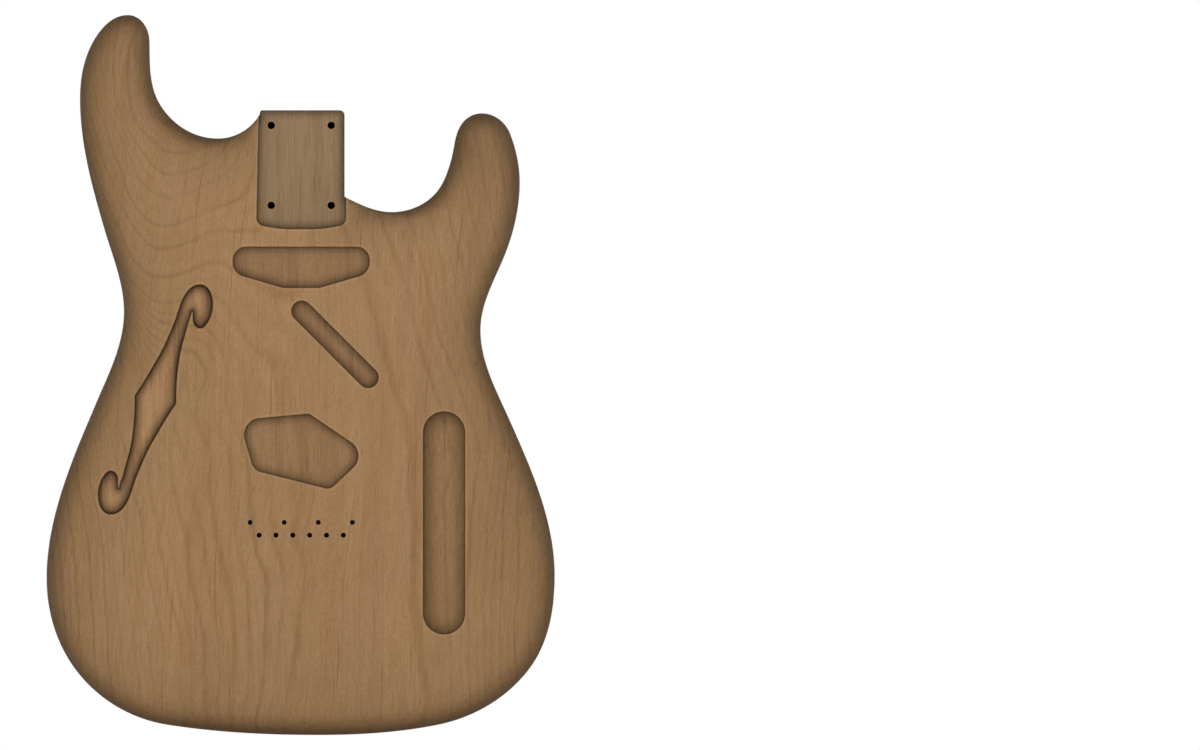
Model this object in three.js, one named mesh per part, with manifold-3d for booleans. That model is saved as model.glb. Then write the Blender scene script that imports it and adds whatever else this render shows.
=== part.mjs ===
// A bare wooden body for an electric guitar, before any finish or hardware is put on.
//
// It is a sandwich: a front board and a back board, sliced from one plank, glued over a core of
// three planks. Four dowels keep the boards in place while the glue dries.
// Millimetres. +X is the treble side, -Y is the front face and +Z runs up towards the neck.
// The pieces are drawn from the butt end, with the middle of the thickness at Y zero. The group
// that holds them moves the origin to the neck pocket's floor, in the middle of its four screws.

import * as THREE from 'three';
import { mergeVertices } from 'three/addons/utils/BufferGeometryUtils.js';
import Module from 'manifold-3d';

const wasm = await Module();
wasm.setup();

// Whole body
const bodyLength = 457.2;
const bodyWidth = 322.7;
const bodyThickness = 44.45;
const faceBoardThickness = 6.35;
const coreMiddlePlankWidth = 104.5;
const coreMiddlePlankOffset = 4.75;
const edgeRadius = 12.7;
const edgeFadeStart = 3;
const edgeFadeLength = 24;
const smallestEdgeRadius = 0.4;
const tightEdgeShare = 0.8;
const facingEdgeShare = 0.95;

// Neck pocket and heel
const heelEndShare = 0.8677;
const heelBassFootShare = 0.8605;
const heelTrebleFootShare = 0.746;
const heelBassRim = 0.08;
const heelBassHeading = 238;
const heelBassCornerRadius = 1.9;
const heelTrebleHeading = 154;
const heelTrebleCornerRadius = 3.2;
const heelTrebleFlare = 1.38;
const heelSideStep = 0.8;
const pocketMouthWidth = 53.4;
const pocketInnerWidth = 56.6;
const pocketLength = 75.3;
const pocketDepth = 15.9;
const pocketCornerRadius = 5;
const pocketEndBulge = 3;
const neckScrewDiameter = 4.7;
const neckScrewSpacingAcross = 38.1;
const neckScrewSpacingAlong = 50.8;
const neckScrewInset = 9.6;

// Pickup cavities
const pickupDepth = 19;
const neckPickupLength = 86.5;
const neckPickupWidth = 25.8;
const neckPickupFlatLength = 22.9;
const neckPickupSideHeight = 16.5;
const neckPickupCornerRadius = 9;
const neckPickupSoftRadius = 4;
const neckPickupGap = 11.5;
const bridgePickupLength = 81.6;
const bridgePickupWidth = 47.8;
const bridgePickupOffset = 1.4;
const bridgePickupAboveScrews = 45;

// Controls, wiring and output jack
const controlWidth = 26.4;
const controlLength = 141.2;
const controlOffsetShare = 0.281;
const controlHeightShare = 0.2946;
const wiringSlotWidth = 12.9;
const wiringSlotLength = 59.7;
const wiringSlotAngle = -45;
const wiringSlotOffset = 21.4;
const wiringSlotBelowPickup = 36;
const wiringBoreDiameter = 8;
const wiringBoreDepth = 12.6;
const jackBoreDiameter = 22.2;
const jackAboveControlEnd = 26;

// Bridge
const bridgeScrewHeightShare = 0.2953;
const bridgeScrewSpacing = 21.65;
const bridgeScrewCount = 4;
const bridgeScrewDiameter = 3;
const bridgeScrewDepth = 25;
const stringCount = 6;
const stringSpacing = 10.7;
const stringHoleDiameter = 3.1;
const stringsBelowScrews = 8.1;
const ferruleDiameter = 9.3;
const ferruleDepth = 9.5;

// Sound hole and the chamber behind it
const soundHoleLength = 145.8;
const soundHoleWidth = 72.8;
const soundHoleOffsetShare = -0.287;
const soundHoleHeightShare = 0.466;
const chamberDepth = 25.4;
const chamberRim = 19;
const chamberSideMargin = 2.3;
const chamberTopMargin = 14;
const chamberBottomMargin = 44;
const chamberCornerRadius = 12.7;

// Dowels
const dowelDiameter = 9.5;
const dowelHoleDiameter = 10;
const dowelHoleDepth = 4.6;
const dowelEndGap = 0.3;
const dowelChamfer = 1;
const lowerDowelHeightShare = 0.36;

// How finely round shapes are cut into flats, and how far a cut runs past what it cuts
const stepDegrees = 7.5;
const longestStep = 24;
const edgeSteps = 6;
const nearPointCount = 3;
const boreSides = 24;
const smallBoreSides = 12;
const smallBoreDiameter = 5;
const overrun = 6;

// Places that follow from the sizes above
const front = -bodyThickness / 2;
const back = bodyThickness / 2;
const coreFront = front + faceBoardThickness;
const coreBack = back - faceBoardThickness;
const heelEnd = bodyLength * heelEndShare;
const heelBassSide = -pocketMouthWidth / 2 - heelBassRim;
const heelTrebleSide = pocketInnerWidth / 2 - heelSideStep;
const pocketEnd = heelEnd - pocketLength;
const pocketFloor = front + pocketDepth;
const neckScrewCentre = heelEnd - neckScrewInset - neckScrewSpacingAlong / 2;
const neckPickupTop = pocketEnd - neckPickupGap;
const neckPickupBottom = neckPickupTop - neckPickupWidth;
const bridgeScrewHeight = bodyLength * bridgeScrewHeightShare;
const bridgePickupHeight = bridgeScrewHeight + bridgePickupAboveScrews;
const stringHeight = bridgeScrewHeight - stringsBelowScrews;
const controlOffset = bodyWidth * controlOffsetShare;
const controlHeight = bodyLength * controlHeightShare;
const soundHoleOffset = bodyWidth * soundHoleOffsetShare;
const soundHoleHeight = bodyLength * soundHoleHeightShare;
const wiringSlotHeight = neckPickupBottom - wiringSlotBelowPickup;
const wiringBoreY = front + wiringBoreDepth;
const upperDowelHeight = (wiringSlotHeight + bridgePickupHeight + bridgePickupWidth / 2) / 2;
const lowerDowelHeight = stringHeight * lowerDowelHeightShare;
const coreBassSeam = coreMiddlePlankOffset - coreMiddlePlankWidth / 2;
const coreTrebleSeam = coreMiddlePlankOffset + coreMiddlePlankWidth / 2;

// Body outline from the bass cutaway, round the bass horn, the butt and the treble horn, to the
// treble cutaway. Shares of the width from the centre line, shares of the length from the butt, and
// the heading there in degrees. The heel's own sizes give where the outline leaves and meets it.
const bodyOutlineShares = [
  [-0.164, 0.8285, 180], // lowest point of the bass cutaway
  [-0.278, 0.876, 121],
  [-0.2985, 0.9625, 91],
  [-0.341, 1, 180], // tip of the bass horn
  [-0.412, 0.96, 242],
  [-0.4355, 0.884, 270], // widest point of the bass shoulder
  [-0.387, 0.7015, 286.5],
  [-0.349, 0.588, 270], // bass waist
  [-0.408, 0.454, 247.5],
  [-0.447, 0.3875, 249],
  [-0.5012, 0.218, 270], // widest point of the bass bout
  [-0.4405, 0.0875, 308],
  [-0.264, 0.0143, 351],
  [0.033, 0, 0], // butt
  [0.2695, 0.0143, 11.5],
  [0.444, 0.0875, 51],
  [0.4988, 0.221, 90], // widest point of the treble bout
  [0.41, 0.4375, 114],
  [0.3528, 0.5625, 90], // treble waist
  [0.403, 0.671, 69],
  [0.43, 0.768, 90], // widest point of the treble shoulder
  [0.4115, 0.8345, 111],
  [0.355, 0.8635, 180], // tip of the treble horn
  [0.318, 0.851, 230],
  [0.2995, 0.814, 260],
  [0.279, 0.768, 244],
  [0.177, 0.7263, 180], // lowest point of the treble cutaway
];

// Half of the sound hole, from its bass corner up the stem, round the scroll and down the stem's
// other side. Shares of half its width and half its length, and the heading. The other half is
// the same, turned round the middle.
const soundHoleShares = [
  [-0.358, 0.036, 55],
  [-0.08, 0.256, 60],
  [0.119, 0.431, 62.5],
  [0.312, 0.648, 67],
  [0.433, 0.822, 72],
  [0.551, 0.936, 54],
  [0.778, 1, 0], // top of the scroll
  [1, 0.831, 270],
  [0.904, 0.666, 236],
  [0.778, 0.622, 180], // foot of the scroll
  [0.658, 0.683, 98],
  [0.655, 0.752, 92],
  [0.64, 0.77, 180], // tip of the tongue
  [0.625, 0.75, 262],
  [0.574, 0.674, 252],
  [0.513, 0.561, 254],
  [0.433, 0.409, 259],
  [0.37, 0.169, 266],
  [0.358, -0.036, 270],
];

// Corners of the bridge pickup cavity: shares of half its length and half its width, and the
// corner's radius as a share of half its width
const bridgePickupShares = [
  [0.085, 1, 0.12],
  [1, -0.06, 0.43],
  [0.412, -1, 0.27],
  [-0.768, -0.49, 0.32],
  [-1, 0.83, 0.44],
];

// Heights up the chamber's outer wall where it follows the body's edge, as shares of its length
const chamberWallShares = [1, 0.75, 0.5, 0.25, 0];

// Materials, bare alder seen as two plain browns and a pale dowel
const wood = (color) => new THREE.MeshStandardMaterial({ color, roughness: 0.72, metalness: 0 });
const faceBoardWood = wood(0xa07e5a);
const coreWood = wood(0x8f7858);
const dowelWood = wood(0xc9ab7c);

// Paths

const radians = (degrees) => THREE.MathUtils.degToRad(degrees);

// A corner radius that takes all the room its sides leave
const asRoundAsFits = Infinity;

const wrapAngle = (angle) => Math.atan2(Math.sin(angle), Math.cos(angle));

// Handle length, as a share of the chord, of a smooth curve that leaves the chord by one angle and
// comes back to it by another
function handleShare(leaving, arriving) {
  const swing = (Math.sin(leaving) - Math.sin(arriving) / 16)
    * (Math.sin(arriving) - Math.sin(leaving) / 16)
    * (Math.cos(leaving) - Math.cos(arriving));
  const tightness = 1
    + (Math.sqrt(5) - 1) / 2 * Math.cos(leaving)
    + (3 - Math.sqrt(5)) / 2 * Math.cos(arriving);
  return (2 + Math.SQRT2 * swing) / tightness / 3;
}

// Points of the smooth curve between two stations, without the last one
function curveBetween(from, to) {
  const chord = to.point.clone().sub(from.point);
  const length = chord.length();
  const leaving = wrapAngle(from.leave - chord.angle());
  const arriving = wrapAngle(chord.angle() - to.arrive);
  const ahead = new THREE.Vector2(Math.cos(from.leave), Math.sin(from.leave));
  const behind = new THREE.Vector2(-Math.cos(to.arrive), -Math.sin(to.arrive));
  const curve = new THREE.CubicBezierCurve(
    from.point,
    from.point.clone().addScaledVector(ahead, length * handleShare(leaving, arriving)),
    to.point.clone().addScaledVector(behind, length * handleShare(arriving, leaving)),
    to.point,
  );
  const turn = Math.abs(leaving) + Math.abs(arriving);
  const steps = Math.ceil(Math.max(turn / radians(stepDegrees), length / longestStep));
  return curve.getPoints(steps).slice(0, -1);
}

// Points of a smooth chain of curves through stations, the last station included
function smoothPath(stations) {
  const points = [];
  for (let i = 1; i < stations.length; i += 1) {
    points.push(...curveBetween(stations[i - 1], stations[i]));
  }
  points.push(stations.at(-1).point.clone());
  return points;
}

const station = (x, z, heading) => ({
  point: new THREE.Vector2(x, z),
  arrive: radians(heading),
  leave: radians(heading),
});

// A polygon with its corners rounded; each corner is [x, z, radius]
function roundedPolygon(corners) {
  const places = corners.map(([x, z]) => new THREE.Vector2(x, z));
  return places.flatMap((corner, i) => {
    const wantedRadius = corners[i][2];
    if (wantedRadius === 0) return [corner];
    const before = places.at(i - 1).clone().sub(corner);
    const after = places[(i + 1) % places.length].clone().sub(corner);
    const half = before.angleTo(after) / 2;
    const turn = Math.PI - 2 * half;
    const room = Math.min(before.length(), after.length()) / 2;
    const tangent = Math.min(wantedRadius / Math.tan(half), room);
    const radius = tangent * Math.tan(half);
    const bisector = before.clone().normalize().add(after.clone().normalize()).normalize();
    const centre = corner.clone().addScaledVector(bisector, radius / Math.sin(half));
    const start = corner.clone().addScaledVector(before.normalize(), tangent).sub(centre);
    const way = Math.sign(before.cross(after)) || 1;
    const steps = Math.max(1, Math.ceil(turn / radians(2 * stepDegrees)));
    return Array.from({ length: steps + 1 }, (_, k) => start.clone()
      .rotateAround(new THREE.Vector2(), -way * turn * k / steps)
      .add(centre));
  });
}

// A slot with round ends, centred on a point and turned from +X
function slotOutline(x, z, endSpacing, width, degrees) {
  const centre = new THREE.Vector2(x, z);
  const steps = boreSides / 2;
  return [1, -1].flatMap((end) => Array.from({ length: steps + 1 }, (_, k) => (
    new THREE.Vector2(0, -end * width / 2)
      .rotateAround(new THREE.Vector2(), Math.PI * k / steps)
      .add(new THREE.Vector2(end * endSpacing / 2, 0))
      .rotateAround(new THREE.Vector2(), radians(degrees))
      .add(centre)
  )));
}

// Solids

// A closed solid for cutting and joining. Triangles that have shrunk to a line are dropped.
function toSolid(geometry) {
  const bare = geometry.clone();
  bare.deleteAttribute('normal');
  bare.deleteAttribute('uv');
  const merged = mergeVertices(bare);
  const index = merged.index.array;
  const corners = [];
  for (let i = 0; i < index.length; i += 3) {
    const [a, b, c] = index.slice(i, i + 3);
    if (a !== b && b !== c && c !== a) corners.push(a, b, c);
  }
  return new wasm.Manifold(new wasm.Mesh({
    numProp: 3,
    vertProperties: new Float32Array(merged.attributes.position.array),
    triVerts: new Uint32Array(corners),
  }));
}

// A drawable mesh of a solid
function toMesh(name, solid, material) {
  const { vertProperties, triVerts } = solid.getMesh();
  const geometry = new THREE.BufferGeometry();
  geometry.setAttribute('position', new THREE.BufferAttribute(vertProperties, 3));
  geometry.setIndex(new THREE.BufferAttribute(triVerts, 1));
  geometry.computeVertexNormals();
  const mesh = new THREE.Mesh(geometry, material);
  mesh.name = name;
  return mesh;
}

// A prism over an outline drawn in X and Z, from one depth to another
function prism(outline, nearY, farY) {
  const shape = new THREE.Shape(outline);
  const geometry = new THREE.ExtrudeGeometry(shape, { depth: farY - nearY, bevelEnabled: false });
  geometry.rotateX(Math.PI / 2);
  geometry.translate(0, farY, 0);
  return toSolid(geometry);
}

// A round hole along Y
function roundAlongY(x, z, diameter, nearY, farY) {
  const sides = diameter > smallBoreDiameter ? boreSides : smallBoreSides;
  const geometry = new THREE.CylinderGeometry(diameter / 2, diameter / 2, farY - nearY, sides);
  geometry.translate(x, (nearY + farY) / 2, z);
  return toSolid(geometry);
}

// A drilled hole between two points
function roundBetween(from, to, diameter) {
  const path = to.clone().sub(from);
  const geometry = new THREE.CylinderGeometry(diameter / 2, diameter / 2, path.length(), boreSides);
  const turn = new THREE.Quaternion()
    .setFromUnitVectors(new THREE.Vector3(0, 1, 0), path.clone().normalize());
  geometry.applyQuaternion(turn);
  geometry.translate(...from.clone().add(to).divideScalar(2));
  return toSolid(geometry);
}

// A block that takes in the whole body between two depths and two places across. Its corners are
// set one by one, so that two blocks that share a face agree on it exactly.
function slice(nearY, farY, lowX = -bodyWidth, highX = bodyWidth) {
  const geometry = new THREE.BoxGeometry();
  const { position } = geometry.attributes;
  for (let i = 0; i < position.count; i += 1) {
    position.setXYZ(
      i,
      position.getX(i) < 0 ? lowX : highX,
      position.getY(i) < 0 ? nearY : farY,
      position.getZ(i) < 0 ? -overrun : bodyLength + overrun,
    );
  }
  return toSolid(geometry);
}

const cutAll = (solid, cutters) => cutters.reduce((left, cutter) => left.subtract(cutter), solid);

// Body blank

// The curved part of the outline, anticlockwise seen from the front
function curvedOutline() {
  const around = bodyOutlineShares.map(([x, z, heading]) => (
    station(x * bodyWidth, z * bodyLength, heading)
  ));
  return smoothPath([
    station(heelBassSide, bodyLength * heelBassFootShare, heelBassHeading),
    ...around,
    station(heelTrebleSide + heelTrebleFlare, bodyLength * heelTrebleFootShare, heelTrebleHeading),
  ]);
}

// The heel's straight edges, from the treble cutaway to the bass cutaway
function heelOutline(curved) {
  const bassCorner = curved[0];
  const shoulder = new THREE.Vector2(heelTrebleSide, curved.at(-1).y + heelSideStep);
  const trebleTurn = smoothPath([
    station(heelTrebleSide, heelEnd - heelTrebleCornerRadius, 90),
    station(heelTrebleSide - heelTrebleCornerRadius, heelEnd, 180),
  ]);
  const bassTurn = smoothPath([
    station(bassCorner.x + heelBassCornerRadius, heelEnd, 180),
    station(bassCorner.x, bassCorner.y, heelBassHeading),
  ]);
  return [shoulder, ...trebleTurn, ...bassTurn.slice(0, -1)];
}

// Distance travelled along a path at each of its points
function distancesAlong(points) {
  const distances = [0];
  for (let i = 1; i < points.length; i += 1) {
    distances.push(distances[i - 1] + points[i].distanceTo(points[i - 1]));
  }
  return distances;
}

// The largest edge radius that fits at each outline point. The edge is square round the heel and
// fades in along both cutaways. On the horns it stays under the radius of the outline itself.
function edgeLimits(outline, curvedCount) {
  const travelled = distancesAlong(outline.slice(0, curvedCount));
  return outline.map((point, i) => {
    if (i === 0 || i >= curvedCount - 1) return 0;
    const before = point.clone().sub(outline[i - 1]);
    const after = outline[i + 1].clone().sub(point);
    const turn = wrapAngle(after.angle() - before.angle());
    const outlineRadius = turn > 0 ? (before.length() + after.length()) / 2 / turn : Infinity;
    const fromHeel = Math.min(travelled[i], travelled.at(-1) - travelled[i]);
    const fade = THREE.MathUtils.smoothstep(fromHeel - edgeFadeStart, 0, edgeFadeLength);
    return Math.min(edgeRadius * fade, outlineRadius * tightEdgeShare);
  });
}

// The largest circle that touches the outline from inside at one point and reaches no far side
function roomInside(outline, i, inward) {
  return Math.min(...outline.map((other, j) => {
    const apart = Math.abs(i - j);
    const isNear = Math.min(apart, outline.length - apart) <= nearPointCount;
    const across = other.clone().sub(outline[i]);
    const ahead = across.dot(inward);
    return isNear || ahead <= 0 ? Infinity : across.lengthSq() / ahead / 2;
  }));
}

// Each outline point with its inward direction and the radius of the rounded edge there
function edgedOutline() {
  const curved = curvedOutline();
  const outline = [...curved, ...heelOutline(curved)];
  const around = (i) => (i + outline.length) % outline.length;
  const limits = edgeLimits(outline, curved.length);
  return outline.map((point, i) => {
    const along = outline[around(i + 1)].clone().sub(point).normalize()
      .add(point.clone().sub(outline[around(i - 1)]).normalize())
      .normalize();
    const inward = new THREE.Vector2(-along.y, along.x);
    const lowest = Math.min(...[-2, -1, 0, 1, 2].map((step) => limits[around(i + step)]));
    const room = roomInside(outline, i, inward) * facingEdgeShare;
    const radius = Math.min((lowest + limits[i]) / 2, room);
    return { point, inward, radius: radius < smallestEdgeRadius ? 0 : radius };
  });
}

// One ring of the rounded edge: the outline drawn in and raised to where the edge's arc is
function edgeRing(outline, arc, face) {
  const outwards = Math.sign(face);
  return outline.map(({ point, inward, radius }) => {
    const drawnIn = point.clone().addScaledVector(inward, radius * (1 - Math.cos(arc)));
    return new THREE.Vector3(drawnIn.x, face - outwards * radius * (1 - Math.sin(arc)), drawnIn.y);
  });
}

// The whole body, with rounded edges and no holes
function blank() {
  const outline = edgedOutline();
  const arcs = Array.from({ length: edgeSteps + 1 }, (_, k) => Math.PI / 2 * k / edgeSteps);
  const frontRings = arcs.toReversed().map((arc) => edgeRing(outline, arc, front));
  const backRings = arcs.map((arc) => edgeRing(outline, arc, back));
  const rings = [...frontRings, ...backRings];
  const count = outline.length;
  const corners = [];
  for (let ring = 0; ring + 1 < rings.length; ring += 1) {
    for (let i = 0; i < count; i += 1) {
      const next = (i + 1) % count;
      const [a, b] = [ring * count + i, ring * count + next];
      const [c, d] = [b + count, a + count];
      corners.push(a, d, b, b, d, c);
    }
  }
  const facesOf = (ring) => THREE.ShapeUtils.triangulateShape(
    rings[ring].map((place) => new THREE.Vector2(place.x, place.z)),
    [],
  );
  const last = rings.length - 1;
  const skipped = last * count;
  facesOf(0).forEach(([a, b, c]) => corners.push(a, b, c));
  facesOf(last).forEach(([a, b, c]) => corners.push(a + skipped, c + skipped, b + skipped));
  const geometry = new THREE.BufferGeometry().setFromPoints(rings.flat());
  geometry.setIndex(corners);
  return toSolid(geometry);
}

// Cuts from the front

// The pocket is open at the heel's end and along the heel's treble side
function neckPocket() {
  const mouth = heelEnd + overrun;
  const side = pocketInnerWidth / 2;
  return prism(roundedPolygon([
    [-side, pocketEnd + pocketEndBulge, pocketCornerRadius],
    [-side / 2, pocketEnd, asRoundAsFits],
    [side / 2, pocketEnd, asRoundAsFits],
    [side, pocketEnd + pocketEndBulge, pocketCornerRadius],
    [side, mouth, 0],
    [-pocketMouthWidth / 2, mouth, 0],
  ]), front - overrun, pocketFloor);
}

function neckScrewHoles() {
  const heights = [heelEnd - neckScrewInset, heelEnd - neckScrewInset - neckScrewSpacingAlong];
  return [-1, 1].flatMap((side) => heights.map((z) => (
    roundAlongY(side * neckScrewSpacingAcross / 2, z, neckScrewDiameter, front, back + overrun)
  )));
}

function neckPickupCavity() {
  const side = neckPickupLength / 2;
  const flat = neckPickupFlatLength / 2;
  const sideEnd = neckPickupTop - neckPickupSideHeight;
  return prism(roundedPolygon([
    [-side, neckPickupTop, neckPickupCornerRadius],
    [-side, sideEnd, neckPickupCornerRadius],
    [-flat, neckPickupBottom, neckPickupSoftRadius],
    [flat, neckPickupBottom, neckPickupSoftRadius],
    [side, sideEnd, neckPickupCornerRadius],
    [side, neckPickupTop, neckPickupCornerRadius],
  ]), front - overrun, front + pickupDepth);
}

function bridgePickupCavity() {
  const corners = bridgePickupShares.map(([x, z, radius]) => [
    bridgePickupOffset + x * bridgePickupLength / 2,
    bridgePickupHeight + z * bridgePickupWidth / 2,
    radius * bridgePickupWidth / 2,
  ]);
  return prism(roundedPolygon(corners), front - overrun, front + pickupDepth);
}

function wiringSlot() {
  return prism(
    slotOutline(wiringSlotOffset, wiringSlotHeight, wiringSlotLength, wiringSlotWidth, wiringSlotAngle),
    front - overrun,
    front + pickupDepth,
  );
}

// The cavity goes right through the core, and the back board is its floor
function controlCavity() {
  const straight = controlLength - controlWidth;
  const outline = slotOutline(controlOffset, controlHeight, straight, controlWidth, 90);
  return prism(outline, front - overrun, coreBack + overrun);
}

function bridgeScrewHoles() {
  const bottom = front + bridgeScrewDepth;
  return Array.from({ length: bridgeScrewCount }, (_, i) => {
    const x = (i - (bridgeScrewCount - 1) / 2) * bridgeScrewSpacing;
    return roundAlongY(x, bridgeScrewHeight, bridgeScrewDiameter, front - overrun, bottom);
  });
}

function soundHole() {
  const half = smoothPath(soundHoleShares.map(([x, z, heading]) => (
    station(x * soundHoleWidth / 2, z * soundHoleLength / 2, heading)
  )));
  const turned = half.map((point) => point.clone().negate());
  const outline = [...half.slice(0, -1), ...turned.slice(0, -1)];
  const centre = new THREE.Vector2(soundHoleOffset, soundHoleHeight);
  return prism(outline.map((point) => point.add(centre)), front - overrun, coreFront + overrun);
}

// Cuts right through and from the back

// Each string passes through the body and is held by a ferrule pressed into the back
function stringHoles() {
  return Array.from({ length: stringCount }, (_, i) => {
    const x = (i - (stringCount - 1) / 2) * stringSpacing;
    return [
      roundAlongY(x, stringHeight, stringHoleDiameter, front - overrun, back + overrun),
      roundAlongY(x, stringHeight, ferruleDiameter, back - ferruleDepth, back + overrun),
    ];
  }).flat();
}

// Cuts hidden inside

// How far left the body's edge lies at a height on the bass side
function bassEdgeAt(z) {
  const outline = curvedOutline();
  const crossings = outline.slice(1).flatMap((point, i) => {
    const previous = outline[i];
    const share = (z - previous.y) / (point.y - previous.y);
    return share >= 0 && share <= 1 ? [previous.x + share * (point.x - previous.x)] : [];
  });
  return Math.min(...crossings);
}

// The chamber is milled into the core before the front board is glued on. Its outer wall keeps a
// rim inside the body's edge, and the other walls clear the sound hole.
function soundChamber() {
  const inner = soundHoleOffset + soundHoleWidth / 2 + chamberSideMargin;
  const top = soundHoleHeight + soundHoleLength / 2 + chamberTopMargin;
  const bottom = soundHoleHeight - soundHoleLength / 2 - chamberBottomMargin;
  const outer = chamberWallShares.map((share, i) => {
    const z = bottom + share * (top - bottom);
    const atEnd = i === 0 || i === chamberWallShares.length - 1;
    return [bassEdgeAt(z) + chamberRim, z, atEnd ? chamberCornerRadius : asRoundAsFits];
  });
  const corners = [[inner, top, chamberCornerRadius], ...outer, [inner, bottom, chamberCornerRadius]];
  return prism(roundedPolygon(corners), coreFront - overrun, front + chamberDepth);
}

// One long drilling joins the neck pickup, the slot and the controls, and a second one runs from
// the bridge pickup to the controls
function wiringBores() {
  const slope = Math.tan(radians(wiringSlotAngle));
  const onSlotLine = (z) => new THREE.Vector3(
    wiringSlotOffset + (z - wiringSlotHeight) / slope,
    wiringBoreY,
    z,
  );
  const start = onSlotLine(neckPickupBottom + neckPickupSideHeight / 2);
  const end = onSlotLine(wiringSlotHeight + (controlOffset - wiringSlotOffset) * slope);
  const bridgeBoreHeight = bridgePickupHeight + bridgePickupShares[1][1] * bridgePickupWidth / 2;
  return [
    roundBetween(start, end, wiringBoreDiameter),
    roundBetween(
      new THREE.Vector3(bridgePickupOffset, wiringBoreY, bridgeBoreHeight),
      new THREE.Vector3(controlOffset, wiringBoreY, bridgeBoreHeight),
      wiringBoreDiameter,
    ),
  ];
}

// The output jack's hole comes in from the treble side, in the middle of the thickness
function jackBore() {
  const height = controlHeight - controlLength / 2 + jackAboveControlEnd;
  return roundBetween(
    new THREE.Vector3(controlOffset, 0, height),
    new THREE.Vector3(bodyWidth / 2 + overrun, 0, height),
    jackBoreDiameter,
  );
}

const dowelHeights = { upper: upperDowelHeight, lower: lowerDowelHeight };

const dowelHoles = (seam) => Object.values(dowelHeights).map((z) => (
  roundAlongY(0, z, dowelHoleDiameter, seam - dowelHoleDepth, seam + dowelHoleDepth)
));

// Pieces

const body = blank();
const cutsFromFront = [
  neckPocket(),
  neckPickupCavity(),
  bridgePickupCavity(),
  wiringSlot(),
  controlCavity(),
  ...bridgeScrewHoles(),
];
const cutsThrough = [...neckScrewHoles(), ...stringHoles()];

function frontBoard() {
  const board = body.intersect(slice(front - overrun, coreFront));
  const cuts = [...cutsFromFront, ...cutsThrough, soundHole(), ...dowelHoles(coreFront)];
  return toMesh('front_board', cutAll(board, cuts), faceBoardWood);
}

function backBoard() {
  const board = body.intersect(slice(coreBack, back + overrun));
  return toMesh('back_board', cutAll(board, [...cutsThrough, ...dowelHoles(coreBack)]), faceBoardWood);
}

// The core's three planks, cut apart at their glue lines
function corePlanks() {
  const cuts = [
    ...cutsFromFront,
    ...cutsThrough,
    ...wiringBores(),
    ...dowelHoles(coreFront),
    ...dowelHoles(coreBack),
    soundChamber(),
    jackBore(),
  ];
  const seams = [-bodyWidth, coreBassSeam, coreTrebleSeam, bodyWidth];
  return ['bass', 'middle', 'treble'].map((place, i) => {
    const plank = body.intersect(slice(coreFront, coreBack, seams[i], seams[i + 1]));
    return toMesh(`core_plank_${place}`, cutAll(plank, cuts), coreWood);
  });
}

// A dowel with chamfered ends, half in a face board and half in the core
function dowel(name, seam, z) {
  const half = dowelHoleDepth - dowelEndGap;
  const radius = dowelDiameter / 2;
  const profile = [
    [0, -half],
    [radius - dowelChamfer, -half],
    [radius, dowelChamfer - half],
    [radius, half - dowelChamfer],
    [radius - dowelChamfer, half],
    [0, half],
  ].map(([x, y]) => new THREE.Vector2(x, y));
  const mesh = new THREE.Mesh(new THREE.LatheGeometry(profile, boreSides), dowelWood);
  mesh.name = name;
  mesh.position.set(0, seam, z);
  return mesh;
}

function dowels() {
  const seams = { front: coreFront, back: coreBack };
  return Object.entries(seams).flatMap(([face, seam]) => (
    Object.entries(dowelHeights).map(([place, z]) => dowel(`${face}_dowel_${place}`, seam, z))
  ));
}

const core = new THREE.Group();
core.add(...corePlanks());

const guitarBody = new THREE.Group();
guitarBody.add(frontBoard(), core, backBoard(), ...dowels());
guitarBody.position.set(0, -pocketFloor, -neckScrewCentre);

export default guitarBody;
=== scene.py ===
# The looks of a bare wooden electric guitar body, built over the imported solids.
#
# The boards and planks are modelled again here with fine rounded edges, eased lips round every
# cut and a flat face that carries the growth rings. Millimetres become metres when a mesh is made.
# +X is the treble side, -Y is the front face and +Z runs up towards the neck.

import math
from functools import partialmethod

import bpy
import numpy as np
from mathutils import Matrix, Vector
from mathutils.geometry import delaunay_2d_cdt


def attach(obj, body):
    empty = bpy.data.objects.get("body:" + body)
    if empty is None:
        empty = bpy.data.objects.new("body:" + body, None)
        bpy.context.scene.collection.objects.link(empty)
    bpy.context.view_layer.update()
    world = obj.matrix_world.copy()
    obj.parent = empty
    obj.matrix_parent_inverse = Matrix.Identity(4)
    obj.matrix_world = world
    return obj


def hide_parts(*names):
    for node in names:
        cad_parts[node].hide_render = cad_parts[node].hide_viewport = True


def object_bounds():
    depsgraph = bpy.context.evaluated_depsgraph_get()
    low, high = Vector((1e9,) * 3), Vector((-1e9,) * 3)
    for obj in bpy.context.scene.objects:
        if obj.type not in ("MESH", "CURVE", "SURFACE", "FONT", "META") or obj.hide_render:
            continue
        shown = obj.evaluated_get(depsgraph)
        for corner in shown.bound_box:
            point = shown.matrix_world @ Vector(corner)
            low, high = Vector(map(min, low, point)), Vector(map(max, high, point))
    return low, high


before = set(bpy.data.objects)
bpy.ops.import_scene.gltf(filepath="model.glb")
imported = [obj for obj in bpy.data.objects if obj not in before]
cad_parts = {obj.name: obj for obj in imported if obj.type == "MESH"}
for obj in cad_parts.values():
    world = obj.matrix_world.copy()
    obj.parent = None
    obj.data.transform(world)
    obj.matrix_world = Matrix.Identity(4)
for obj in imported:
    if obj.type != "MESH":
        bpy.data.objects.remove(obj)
cad_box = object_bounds()

MM = 0.001

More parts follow.
